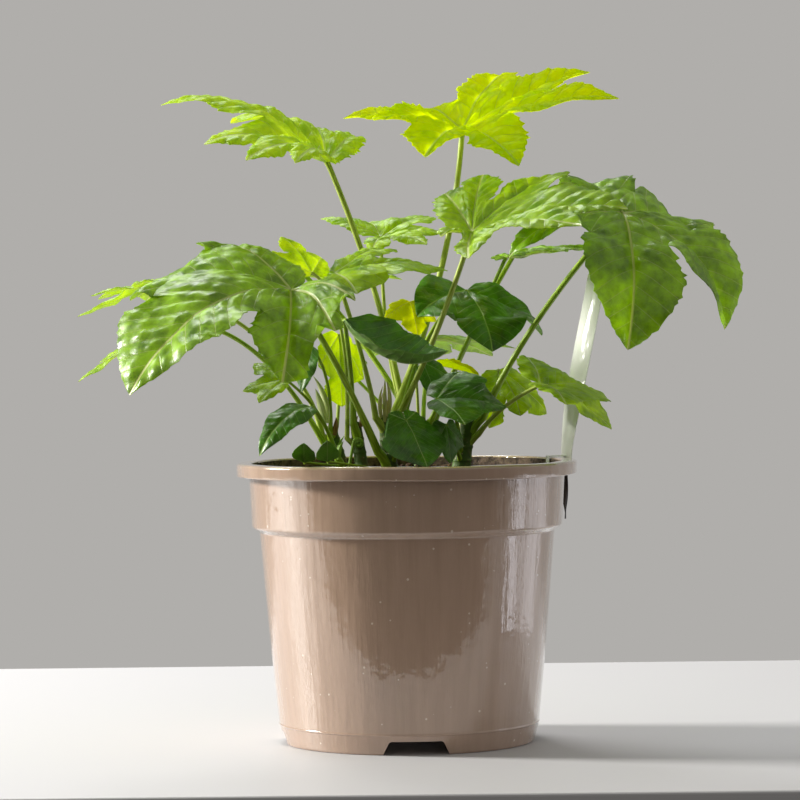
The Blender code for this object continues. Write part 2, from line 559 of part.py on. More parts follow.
def blade_surface(leaf):
    """Upper surface of a leaf: lobes that share a seam as far as the cut between them."""
    lobes = leaf_lobes(leaf)
    points = [np.array(leaf.hub, float)]
    faces = []
    seams = [seam_between(leaf, one, two) for one, two in zip(lobes, lobes[1:])]
    lines = []
    for row, _, _ in seams:
        lines.append(list(range(len(points), len(points) + len(row))))
        points += row
    room = math.tan(min(1.2, (2 * math.pi - lobes[-1].angle + lobes[0].angle) / 2 - 0.05))
    for place, lobe in enumerate(lobes):
        hands = {1: place if place < len(seams) else None, -1: place - 1 if place else None}
        cuts = {hand: min(0.92, seams[seam][1] / lobe.length)
                for hand, seam in hands.items() if seam is not None}
        cut = sum(cuts.values()) / len(cuts) if cuts else LOBE_CUT
        rib = [0]
        for share in stations_along(cut):
            rib.append(len(points))
            points.append(along_lobe(leaf, lobe, share)[0])
        for hand, seam in hands.items():
            joined = seam is not None
            row = lobe_margin(leaf, lobe, hand, seams[seam] if joined else None, cuts.get(hand, cut), room)
            edge = [0] + (lines[seam] if joined else [])
            edge += list(range(len(points), len(points) + len(row))) + [rib[-1]]
            points += row
            for index in range(len(rib) - 1):
                corners = [rib[index], rib[index + 1], edge[index + 1], edge[index]]
                corners = list(dict.fromkeys(corners if hand > 0 else corners[::-1]))
                faces += [(corners[0], *corners[turn:turn + 2]) for turn in range(1, len(corners) - 1)]
    return np.array(points), faces


def build_blade(name, leaf, slot, origin):
    """A leaf's blade as a thin closed solid of even thickness."""
    points, faces = blade_surface(leaf)
    normals = np.zeros_like(points)
    for one, two, three in faces:
        normal = np.cross(points[two] - points[one], points[three] - points[one])
        for corner in (one, two, three):
            normals[corner] += normal
    normals /= np.linalg.norm(normals, axis=1)[:, None]
    thick = max(0.9, BLADE_THICK * leaf.size)
    count = len(points)
    solid = np.vstack((points + normals * thick / 2, points - normals * thick / 2))
    shell = [list(face) for face in faces]
    shell += [[face[2] + count, face[1] + count, face[0] + count] for face in faces]
    edges = set()
    for face in faces:
        edges.update((face[turn], face[(turn + 1) % 3]) for turn in range(3))
    for one, two in edges:
        if (two, one) not in edges:
            shell.append([two, one, one + count, two + count])
    return add_body(name, solid, shell, slot, origin)


def build_leaf(name, stems):
    """One leaf: its stalk, which starts just clear of the stem, fused to its blade."""
    leaf = LEAVES[name]
    slot = "sunlit leaf" if name in SUNLIT else "shaded leaf"
    base, top, foot_radius, tip_radius = stems[leaf.stem]
    hub = np.array(leaf.hub, float)
    stem_point = base + (top - base) * leaf.share
    swell = 1.05 if leaf.share > 0.62 else 1.09
    stem_radius = (foot_radius + (tip_radius - foot_radius) * leaf.share) * swell
    outward = hub - stem_point
    outward[2] = 0.0
    outward = outward / np.linalg.norm(outward)
    radius = leaf.girth * (0.55 + 0.0115 * leaf.size)
    slant = max(0.0, np.dot(outward, top - base) / np.linalg.norm(top - base))
    seat = stem_point + outward * (stem_radius + CLEAR + 1.3 * radius * slant)
    start = seat + outward * (1.7 * radius + 0.2) + np.array([0.0, 0.0, 1.2 * radius])
    control = start + (hub - start) * np.array([leaf.lean, leaf.lean, leaf.rise])
    path = [seat]
    radii = [1.3 * radius]
    for step in range(PETIOLE_STEPS + 1):
        t = step / PETIOLE_STEPS
        path.append((1 - t) ** 2 * start + 2 * t * (1 - t) * control + t * t * hub)
        radii.append(radius * (1.2 - 0.3 * min(1.0, 4 * t) - 0.15 * t))
    path[-1] = hub + (hub - control) / np.linalg.norm(hub - control) * 0.7 * radius
    stalk = tube("leaf_" + name, path, radii, PETIOLE_SIDES, slot, outward)
    blade = build_blade(name + " blade", leaf, slot, seat)
    return boolean_with(stalk, [blade], "UNION")


def mesh_tree(body):
    """Search tree of a body's faces."""
    work = bmesh.new()
    work.from_mesh(body.data)
    tree = BVHTree.FromBMesh(work)
    work.free()
    return tree


def finish_all():
    """Shade the solids smooth up to their creases and hang them all on one empty at the pot's foot."""
    whole = bpy.data.objects.new("potted fatsia", None)
    bpy.context.scene.collection.objects.link(whole)
    for body in list(bpy.context.scene.objects):
        if body.type == "MESH":
            body.data.shade_smooth()
            body.data.set_sharp_from_angle(angle=math.radians(35.0))
            body.parent = whole


def main():
    """Build every solid of the potted plant."""
    clear_scene()
    build_pot()
    soil = build_soil()
    build_label()
    soil_tree = mesh_tree(soil)
    stems = {name: build_stem(name, soil_tree) for name in STEMS}
    for name in LEAVES:
        build_leaf(name, stems)
    finish_all()


main()
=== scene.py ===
"""The looks of a young fatsia in a nursery pot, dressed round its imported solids.

Metres, +Z up. The plant's own tables are in millimetres and degrees, and MM turns them into metres.
"""
import logging
import math
import random
from dataclasses import dataclass, field
from enum import Enum

import bmesh
import bpy
import numpy as np
from mathutils import Matrix, Vector, noise


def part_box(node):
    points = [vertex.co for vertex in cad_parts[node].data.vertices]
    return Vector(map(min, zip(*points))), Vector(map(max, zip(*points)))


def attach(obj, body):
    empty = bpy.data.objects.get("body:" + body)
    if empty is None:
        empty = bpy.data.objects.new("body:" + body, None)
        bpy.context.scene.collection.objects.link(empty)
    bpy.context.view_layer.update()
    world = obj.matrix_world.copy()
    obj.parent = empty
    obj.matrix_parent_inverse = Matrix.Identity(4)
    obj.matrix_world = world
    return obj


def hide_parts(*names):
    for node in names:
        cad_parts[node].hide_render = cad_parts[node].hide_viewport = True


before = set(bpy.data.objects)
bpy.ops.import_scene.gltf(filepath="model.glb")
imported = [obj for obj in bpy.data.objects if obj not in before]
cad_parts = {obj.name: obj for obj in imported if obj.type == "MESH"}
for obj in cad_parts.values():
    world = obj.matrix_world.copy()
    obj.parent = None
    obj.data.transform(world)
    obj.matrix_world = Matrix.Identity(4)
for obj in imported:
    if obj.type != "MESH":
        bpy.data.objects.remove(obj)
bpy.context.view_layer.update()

MM = 0.001
CHART = "leaf chart"
STALK_CHART_UNIT = 30.0
VEIN_PAIRS = 9.0
VEIN_SLANT = 0.75

log = logging.getLogger("fatsia")


def linear(code: str) -> tuple[float, float, float, float]:
    """Turn an sRGB hex colour into a linear one.

    Args:
        code: six hex digits after a hash.

    Returns:
        Linear red, green and blue, and an alpha of 1.
    """
    values = [int(code[place:place + 2], 16) / 255 for place in (1, 3, 5)]
    return (*(v / 12.92 if v <= 0.04045 else ((v + 0.055) / 1.055) ** 2.4 for v in values), 1.0)


def live(node: bpy.types.Node) -> bpy.types.NodeSocket:
    """Return a node's first output that its settings leave on."""
    return next(socket for socket in node.outputs if socket.enabled)


def add_node(tree: bpy.types.NodeTree, kind: str, inputs: dict | None = None, **settings) -> bpy.types.Node:
    """Add a shader node, set it, and fill or link its inputs.

    Args:
        tree: the material's or world's node tree.
        kind: the node's type without its ShaderNode prefix.
        inputs: socket name or number against a plain value, a socket, or a node for its live output.
        settings: the node's own properties.

    Returns:
        The new node.
    """
    made = tree.nodes.new("ShaderNode" + kind)
    for name, value in settings.items():
        setattr(made, name, value)
    for key, value in (inputs or {}).items():
        socket = made.inputs[key] if isinstance(key, int) else next(
            s for s in made.inputs if s.enabled and s.name == key)
        if isinstance(value, bpy.types.Node):
            value = live(value)
        if isinstance(value, bpy.types.NodeSocket):
            tree.links.new(value, socket)
        else:
            socket.default_value = value
    return made


def smooth(value: np.ndarray | float, low: float, high: float) -> np.ndarray | float:
    """Rise smoothly from 0 at low to 1 at high."""
    share = np.clip((value - low) / (high - low), 0.0, 1.0)
    return share * share * (3 - 2 * share)


def deselect() -> None:
    """Leave nothing selected and nothing in edit mode."""
    if bpy.context.object and bpy.context.object.mode != "OBJECT":
        bpy.ops.object.mode_set(mode="OBJECT")
    bpy.ops.object.select_all(action="DESELECT")


def link_mesh(name: str, points: np.ndarray, faces: list, chart: list | None = None) -> bpy.types.Object:
    """Make an object at the origin from points in millimetres.

    Args:
        name: the piece's name.
        points: one row for each point.
        faces: corner numbers of each face.
        chart: a pair for each corner of each face, in order, for the piece's own map.

    Returns:
        The new object, smooth shaded.
    """
    mesh = bpy.data.meshes.new(name)
    mesh.from_pydata((np.asarray(points) * MM).tolist(), [], faces)
    if chart is not None:
        mesh.uv_layers.new(name=CHART).data.foreach_set("uv", np.asarray(chart, np.float32).ravel())
    mesh.validate()
    mesh.shade_smooth()
    mesh.set_sharp_from_angle(angle=math.radians(50.0))
    piece = bpy.data.objects.new(name, mesh)
    bpy.context.scene.collection.objects.link(piece)
    return piece


def settle(piece: bpy.types.Object, finishes: list, nodes: list[str]) -> bpy.types.Object:
    """Dress a finished piece and tie it to the frame.

    Args:
        piece: the piece, in its place.
        finishes: its materials in the order of its faces' numbers.
        nodes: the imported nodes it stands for, if any.

    Returns:
        The same piece.
    """
    for finish in finishes:
        piece.data.materials.append(finish.material())
    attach(piece, "root")
    if nodes:
        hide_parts(*nodes)
    log.info("%s: %d faces", piece.name, len(piece.data.polygons))
    return piece


class Tint(Enum):
    """How old a leaf looks, some with painted light and some with painted shade: upper side's shade and
    light, vein, light through it, share let through.
    """

    YELLOW = ("#C4CC06", "#E2E810", "#F0ECA0", "#FAFF18", 0.82)
    # Young yellow-green, raised partly as painted light for leaves lit from behind
    YOUNG = ("#D0F400", "#E6FE04", "#EAF4A0", "#FAFF06", 0.98)
    # Lime green of young leaves, raised partly as painted light for leaves lit from behind
    LIME = ("#8CC200", "#CCEC06", "#E2EEA0", "#F2FF08", 0.74)
    FRESH = ("#649C00", "#B8DE0C", "#E0EAA4", "#EEFF0A", 0.56)
    MATURE = ("#306200", "#A0D004", "#DEE69C", "#E2FF06", 0.48)
    # Painted shade: a darker green for leaves that stand in deep shade inside the plant
    DEEP = ("#225000", "#4E9404", "#B8D480", "#B0E004", 0.30)


@dataclass(frozen=True)
class Finish:
    """A real surface, made once as a material."""

    name: str

    def material(self) -> bpy.types.Material:
        """Make this finish's material, or find the one that is made already.

        Returns:
            The material.
        """
        found = bpy.data.materials.get(self.name)
        if found:
            return found
        made = bpy.data.materials.new(self.name)
        made.use_nodes = True
        self.dress(made.node_tree, made.node_tree.nodes["Principled BSDF"])
        return made

    def dress(self, tree: bpy.types.NodeTree, shader: bpy.types.Node) -> None:
        """Set the shader up; each finish has its own.

        Args:
            tree: the material's node tree.
            shader: its Principled shader.
        """
        raise NotImplementedError


@dataclass(frozen=True)
class LeafSkin(Finish):
    """Waxy leaf skin: soft gloss over green tissue that glows with the light behind it.

    The chart gives the place along a lobe and across it from its midrib, as shares of the leaf's size.
    The underside is paler by its pallor.
    """

    tint: Tint
    upper: bool
    pallor: float = 0.28

    def dress(self, tree: bpy.types.NodeTree, shader: bpy.types.Node) -> None:
        """Veins from the chart, mottling from the place, and light let through.

        Args:
            tree: the material's node tree.
            shader: its Principled shader.
        """
        shade, light, vein, glow, through = self.tint.value
        place = add_node(tree, "TexCoord").outputs["Object"]
        chart = add_node(tree, "UVMap", uv_map=CHART)
        split = add_node(tree, "SeparateXYZ", {0: chart})
        across = add_node(tree, "Math", {0: split.outputs["Y"]}, operation="ABSOLUTE")
        midrib = add_node(tree, "MapRange", {"Value": across, "From Min": 0.0058, "From Max": 0.0118,
                                             "To Min": 1.0, "To Max": 0.0}, interpolation_type="SMOOTHSTEP")
        # Side veins leave the midrib at about 50 degrees, nine pairs to the leaf's length
        slant = add_node(tree, "Math", {0: across, 1: -VEIN_SLANT, 2: split.outputs["X"]},
                         operation="MULTIPLY_ADD")
        beat = add_node(tree, "Math", {0: slant, 1: VEIN_PAIRS}, operation="MULTIPLY")
        phase = add_node(tree, "Math", {0: beat}, operation="FRACT")
        off = add_node(tree, "Math", {0: phase, 1: 0.5}, operation="SUBTRACT")
        near = add_node(tree, "Math", {0: off}, operation="ABSOLUTE")
        side_vein = add_node(tree, "MapRange", {"Value": near, "From Min": 0.448, "From Max": 0.5,
                                                "To Min": 0.0, "To Max": 0.55},
                             interpolation_type="SMOOTHSTEP")
        # The finest veins net the tissue in cells of about 2.5 mm
        net = add_node(tree, "TexVoronoi", {"Vector": place, "Scale": 400.0, "Randomness": 0.9},
                       feature="DISTANCE_TO_EDGE")
        fine_vein = add_node(tree, "MapRange", {"Value": net, "From Min": 0.02, "From Max": 0.14,
                                                "To Min": 0.07, "To Max": 0.0})
        veins = add_node(tree, "Math", {0: midrib, 1: side_vein}, operation="MAXIMUM")
        all_veins = add_node(tree, "Math", {0: veins, 1: fine_vein}, operation="MAXIMUM")
        # Light and dark green mottle the blade in patches of about 13 mm
        patches = add_node(tree, "TexNoise", {"Vector": place, "Scale": 78.0, "Detail": 4.0,
                                              "Roughness": 0.65})
        spread = add_node(tree, "MapRange", {"Value": patches, "From Min": 0.34, "From Max": 0.64})
        tissue = add_node(tree, "Mix", {"Factor": spread, "A": linear(shade), "B": linear(light)},
                          data_type="RGBA")
        pale = 0.95 if self.upper else 1.0
        strength = add_node(tree, "Math", {0: all_veins, 1: pale}, operation="MULTIPLY")
        colour = add_node(tree, "Mix", {"Factor": strength, "A": tissue, "B": linear(vein)}, data_type="RGBA")
        if not self.upper:
            colour = add_node(tree, "Mix", {"Factor": self.pallor, "A": colour, "B": linear(vein)},
                              data_type="RGBA")
        tree.links.new(live(colour), shader.inputs["Base Color"])
        shine = add_node(tree, "MapRange", {"Value": patches, "From Min": 0.3, "From Max": 0.7,
                                            "To Min": 0.30 if self.upper else 0.5,
                                            "To Max": 0.44 if self.upper else 0.62})
        tree.links.new(shine.outputs["Result"], shader.inputs["Roughness"])
        shader.inputs["IOR"].default_value = 1.52
        # The share of light let through takes its part of the gloss too, so the gloss is raised to match
        shader.inputs["Specular IOR Level"].default_value = min(1.0, 0.55 / (1.0 - through))
        # Veins lie in grooves, and a grain of about 1 mm roughens the wax between them
        puffed = add_node(tree, "Math", {0: all_veins, 1: -1.0}, operation="MULTIPLY")
        grain = add_node(tree, "TexNoise", {"Vector": place, "Scale": 900.0, "Detail": 2.0})
        fine = add_node(tree, "Math", {0: grain, 1: 0.25, 2: puffed}, operation="MULTIPLY_ADD")
        # The tissue between the side veins puffs up in soft cushions of about 10 mm
        cushion = add_node(tree, "TexVoronoi", {"Vector": place, "Scale": 100.0, "Smoothness": 0.7},
                           feature="SMOOTH_F1")
        height = add_node(tree, "Math", {0: cushion, 1: -10.0, 2: fine}, operation="MULTIPLY_ADD")
        bump = add_node(tree, "Bump", {"Height": height, "Distance": 0.00022, "Strength": 1.0},
                        invert=not self.upper)
        tree.links.new(bump.outputs["Normal"], shader.inputs["Normal"])
        # Light that comes through the blade is yellower than what its face throws back
        dimmed = add_node(tree, "Mix", {"Factor": spread, "A": linear(shade), "B": linear(glow)},
                          data_type="RGBA")
        sheen = add_node(tree, "Mix", {"Factor": 0.68, "A": dimmed, "B": linear(glow)}, data_type="RGBA")
        lit = add_node(tree, "Mix", {"Factor": strength, "A": sheen, "B": linear(vein)}, data_type="RGBA")
        back = add_node(tree, "BsdfTranslucent", {"Color": lit, "Normal": bump})
        blend = add_node(tree, "MixShader", {0: through, 1: shader.outputs["BSDF"], 2: back})
        tree.links.new(blend.outputs["Shader"], tree.nodes["Material Output"].inputs["Surface"])


@dataclass(frozen=True)
class StalkSkin(Finish):
    """Smooth green stalk skin: firm, softly shiny, with fine ribs along it."""

    shade: str
    light: str

    def dress(self, tree: bpy.types.NodeTree, shader: bpy.types.Node) -> None:
        """Streaks along the chart's length and a little light under the skin.

        Args:
            tree: the material's node tree.
            shader: its Principled shader.
        """
        chart = add_node(tree, "UVMap", uv_map=CHART)
        # Streaks of about 10 mm, fourteen of them round the stalk
        stretch = add_node(tree, "Mapping", {"Vector": chart, "Scale": (3.0, 14.0, 1.0)})
        streak = add_node(tree, "TexNoise", {"Vector": stretch, "Scale": 1.0, "Detail": 4.0})
        spread = add_node(tree, "MapRange", {"Value": streak, "From Min": 0.36, "From Max": 0.64})
        colour = add_node(tree, "Mix", {"Factor": spread, "A": linear(self.shade), "B": linear(self.light)},
                          data_type="RGBA")
        tree.links.new(live(colour), shader.inputs["Base Color"])
        shader.inputs["Roughness"].default_value = 0.36
        shader.inputs["IOR"].default_value = 1.42
        bump = add_node(tree, "Bump", {"Height": streak, "Distance": 0.0003, "Strength": 0.5})
        tree.links.new(bump.outputs["Normal"], shader.inputs["Normal"])


@dataclass(frozen=True)
class StemBark(Finish):
    """Young bark: dull green skin turning to brown cork, with pale breathing pores."""

    def dress(self, tree: bpy.types.NodeTree, shader: bpy.types.Node) -> None:
        """Green and cork in patches of about 6 mm, with pores about 1 mm across.

        Args:
            tree: the material's node tree.
            shader: its Principled shader.
        """
        place = add_node(tree, "TexCoord").outputs["Object"]
        patches = add_node(tree, "TexNoise", {"Vector": place, "Scale": 160.0, "Detail": 5.0,
                                              "Roughness": 0.65})
        spread = add_node(tree, "MapRange", {"Value": patches, "From Min": 0.50, "From Max": 0.70})
        skin = add_node(tree, "Mix", {"Factor": spread, "A": linear("#4E6A22"), "B": linear("#6E5A36")},
                        data_type="RGBA")
        cells = add_node(tree, "TexVoronoi", {"Vector": place, "Scale": 380.0})
        pore = add_node(tree, "MapRange", {"Value": cells, "From Min": 0.10, "From Max": 0.22,
                                           "To Min": 0.8, "To Max": 0.0})
        colour = add_node(tree, "Mix", {"Factor": pore, "A": skin, "B": linear("#A89A70")}, data_type="RGBA")
        tree.links.new(live(colour), shader.inputs["Base Color"])
        shader.inputs["Roughness"].default_value = 0.62
        bump = add_node(tree, "Bump", {"Height": patches, "Distance": 0.0006, "Strength": 0.7})
        tree.links.new(bump.outputs["Normal"], shader.inputs["Normal"])


@dataclass(frozen=True)
class PotPlastic(Finish):
    """Moulded polypropylene, taupe: a clean gloss with faint flow streaks down it and grains of dust."""

    def dress(self, tree: bpy.types.NodeTree, shader: bpy.types.Node) -> None:
        """Streaks drawn out along Z, specks of pale dust and dark grit, and a slow waviness in the gloss.

        Args:
            tree: the material's node tree.
            shader: its Principled shader.
        """
        place = add_node(tree, "TexCoord").outputs["Object"]
        # Flow streaks of about 6 mm across and 200 mm down
        drawn = add_node(tree, "Mapping", {"Vector": place, "Scale": (170.0, 170.0, 5.0)})
        flow = add_node(tree, "TexNoise", {"Vector": drawn, "Scale": 1.0, "Detail": 5.0, "Roughness": 0.6})
        spread = add_node(tree, "MapRange", {"Value": flow, "From Min": 0.30, "From Max": 0.70})
        body = add_node(tree, "Mix", {"Factor": spread, "A": linear("#AE937F"), "B": linear("#B99D89")},
                        data_type="RGBA")
        # Specks of pale dust, up to 1.4 mm across and about 5 mm apart
        cells = add_node(tree, "TexVoronoi", {"Vector": place, "Scale": 210.0})
        size = add_node(tree, "SeparateColor", {0: cells.outputs["Color"]})
        reach = add_node(tree, "MapRange", {"Value": size.outputs["Red"], "From Min": 0.45, "From Max": 1.0,
                                            "To Min": 0.0, "To Max": 0.15})
        speck = add_node(tree, "Math", {0: cells.outputs["Distance"], 1: reach}, operation="LESS_THAN")
        faint = add_node(tree, "Math", {0: speck, 1: 0.8}, operation="MULTIPLY")
        dusty = add_node(tree, "Mix", {"Factor": faint, "A": body, "B": linear("#E2D3C2")}, data_type="RGBA")
        # Dark grains of soil, up to 1.4 mm across and few
        grit = add_node(tree, "TexVoronoi", {"Vector": place, "Scale": 62.0})
        chance = add_node(tree, "SeparateColor", {0: grit.outputs["Color"]})
        grain = add_node(tree, "MapRange", {"Value": chance.outputs["Green"], "From Min": 0.86,
                                            "From Max": 1.0, "To Min": 0.0, "To Max": 0.045})
        dark = add_node(tree, "Math", {0: grit.outputs["Distance"], 1: grain}, operation="LESS_THAN")
        colour = add_node(tree, "Mix", {"Factor": dark, "A": dusty, "B": linear("#3A2C22")}, data_type="RGBA")
        tree.links.new(live(colour), shader.inputs["Base Color"])
        # Handling dulls the gloss in smears of about 40 mm
        smear = add_node(tree, "TexNoise", {"Vector": place, "Scale": 26.0, "Detail": 3.0})
        dull = add_node(tree, "MapRange", {"Value": smear, "From Min": 0.35, "From Max": 0.70,
                                           "To Min": 0.07, "To Max": 0.15})
        tree.links.new(dull.outputs["Result"], shader.inputs["Roughness"])
        shader.inputs["IOR"].default_value = 1.5
        # The skin of a moulding mirrors more than its bulk, so a clear coat doubles the gloss
        shader.inputs["Coat Weight"].default_value = 1.0
        shader.inputs["Coat IOR"].default_value = 1.7
        shader.inputs["Coat Roughness"].default_value = 0.04
        # The wall ripples over 20 to 40 mm, and water marks of about 6 mm break its reflections
        ripple = add_node(tree, "TexNoise", {"Vector": place, "Scale": 34.0, "Detail": 3.0})
        marks = add_node(tree, "TexNoise", {"Vector": place, "Scale": 170.0, "Detail": 2.0})
        streaked = add_node(tree, "Math", {0: flow, 1: 0.55, 2: ripple}, operation="MULTIPLY_ADD")
        mixed = add_node(tree, "Math", {0: marks, 1: 0.14, 2: streaked}, operation="MULTIPLY_ADD")
        bump = add_node(tree, "Bump", {"Height": mixed, "Distance": 0.0016, "Strength": 0.4})
        tree.links.new(bump.outputs["Normal"], shader.inputs["Normal"])
        tree.links.new(bump.outputs["Normal"], shader.inputs["Coat Normal"])


@dataclass(frozen=True)
class Earth(Finish):
    """Peat compost, bark, perlite or the darkened inside of the pot: dull, rough, two tones in clumps of a
    given width.
    """

    dark: str
    pale: str
    clump: float = 3.0

    def dress(self, tree: bpy.types.NodeTree, shader: bpy.types.Node) -> None:
        """Two tones in clumps over a rough surface.

        Args:
            tree: the material's node tree.
            shader: its Principled shader.
        """
        place = add_node(tree, "TexCoord").outputs["Object"]
        clumps = add_node(tree, "TexNoise", {"Vector": place, "Scale": 1000.0 / self.clump, "Detail": 5.0,
                                             "Roughness": 0.7})
        spread = add_node(tree, "MapRange", {"Value": clumps, "From Min": 0.38, "From Max": 0.66})
        colour = add_node(tree, "Mix", {"Factor": spread, "A": linear(self.dark), "B": linear(self.pale)},
                          data_type="RGBA")
        tree.links.new(live(colour), shader.inputs["Base Color"])
        shader.inputs["Roughness"].default_value = 0.92
        bump = add_node(tree, "Bump", {"Height": clumps, "Distance": 0.0015, "Strength": 0.9})
        tree.links.new(bump.outputs["Normal"], shader.inputs["Normal"])


@dataclass(frozen=True)
class Film(Finish):
    """Polystyrene label sheet, blank: glossy, and where it is white a little light comes through it."""

    colour: str
    rough: float
    through: float = 0.0

    def dress(self, tree: bpy.types.NodeTree, shader: bpy.types.Node) -> None:
        """Faint creases across a glossy sheet.

        Args:
            tree: the material's node tree.
            shader: its Principled shader.
        """
        place = add_node(tree, "TexCoord").outputs["Object"]
        # Creases of about 11 mm across and 36 mm along the label
        drawn = add_node(tree, "Mapping", {"Vector": place, "Scale": (90.0, 90.0, 28.0)})
        crease = add_node(tree, "TexNoise", {"Vector": drawn, "Scale": 1.0, "Detail": 3.0})
        bump = add_node(tree, "Bump", {"Height": crease, "Distance": 0.0018, "Strength": 0.5})
        tree.links.new(bump.outputs["Normal"], shader.inputs["Normal"])
        shader.inputs["Base Color"].default_value = linear(self.colour)
        shader.inputs["Roughness"].default_value = self.rough
        shader.inputs["IOR"].default_value = 1.52
        if self.through:
            back = add_node(tree, "BsdfTranslucent", {"Color": linear(self.colour)})
            blend = add_node(tree, "MixShader", {0: self.through, 1: shader.outputs["BSDF"], 2: back})
            tree.links.new(blend.outputs["Shader"], tree.nodes["Material Output"].inputs["Surface"])


@dataclass(frozen=True)
class Painted(Finish):
    """Matt paint on the studio's table."""

    colour: str

    def dress(self, tree: bpy.types.NodeTree, shader: bpy.types.Node) -> None:
        """One even matt colour.

        Args:
            tree: the material's node tree.
            shader: its Principled shader.
        """
        shader.inputs["Base Color"].default_value = linear(self.colour)
        shader.inputs["Roughness"].default_value = 0.55


@dataclass
class Turned:
    """A body made by drawing a ring out along a profile of (radius, height) in millimetres."""

    name: str
    profile: list[tuple[float, float]]
    sides: int = 192

    def build(self) -> bpy.types.Object:
        """Draw the ring out from the first point to the last and close both ends.

        Returns:
            The closed body, its faces outwards.
        """
        deselect()
        radius, height = self.profile[0]
        bpy.ops.mesh.primitive_circle_add(vertices=self.sides, radius=radius * MM, fill_type="NGON",
                                          location=(0.0, 0.0, height * MM))
        piece = bpy.context.object
        piece.name = piece.data.name = self.name
        bpy.ops.object.transform_apply(location=True, rotation=True, scale=True)
        bpy.ops.object.mode_set(mode="EDIT")
        bpy.ops.mesh.select_all(action="SELECT")
        for after_radius, after_height in self.profile[1:]:
            bpy.ops.mesh.extrude_region_move(
                TRANSFORM_OT_translate={"value": (0.0, 0.0, (after_height - height) * MM)})
            scale = after_radius / radius
            bpy.ops.transform.resize(value=(scale, scale, 1.0), center_override=(0.0, 0.0, after_height * MM))
            radius, height = after_radius, after_height
        bpy.ops.mesh.select_all(action="SELECT")
        bpy.ops.mesh.normals_make_consistent(inside=False)
        bpy.ops.object.mode_set(mode="OBJECT")
        piece.data.shade_smooth()
        return piece


def rounded(points: list[tuple[float, float, float]], steps: int = 5) -> list[tuple[float, float]]:
    """Round each corner of a profile by its own radius.

    Args:
        points: radius, height and corner radius of each point.
        steps: points along each rounded corner.

    Returns:
        The profile with its corners drawn as arcs.
    """
    made = []
    for place, (x, y, reach) in enumerate(points):
        if not reach or place in (0, len(points) - 1):
            made.append((x, y))
            continue
        here = np.array([x, y])
        before = np.array(points[place - 1][:2]) - here
        after = np.array(points[place + 1][:2]) - here
        start = here + before / np.linalg.norm(before) * min(reach, 0.49 * np.linalg.norm(before))
        end = here + after / np.linalg.norm(after) * min(reach, 0.49 * np.linalg.norm(after))
        for step in range(steps + 1):
            t = step / steps
            spot = (1 - t) ** 2 * start + 2 * t * (1 - t) * here + t * t * end
            made.append((float(spot[0]), float(spot[1])))
    return made


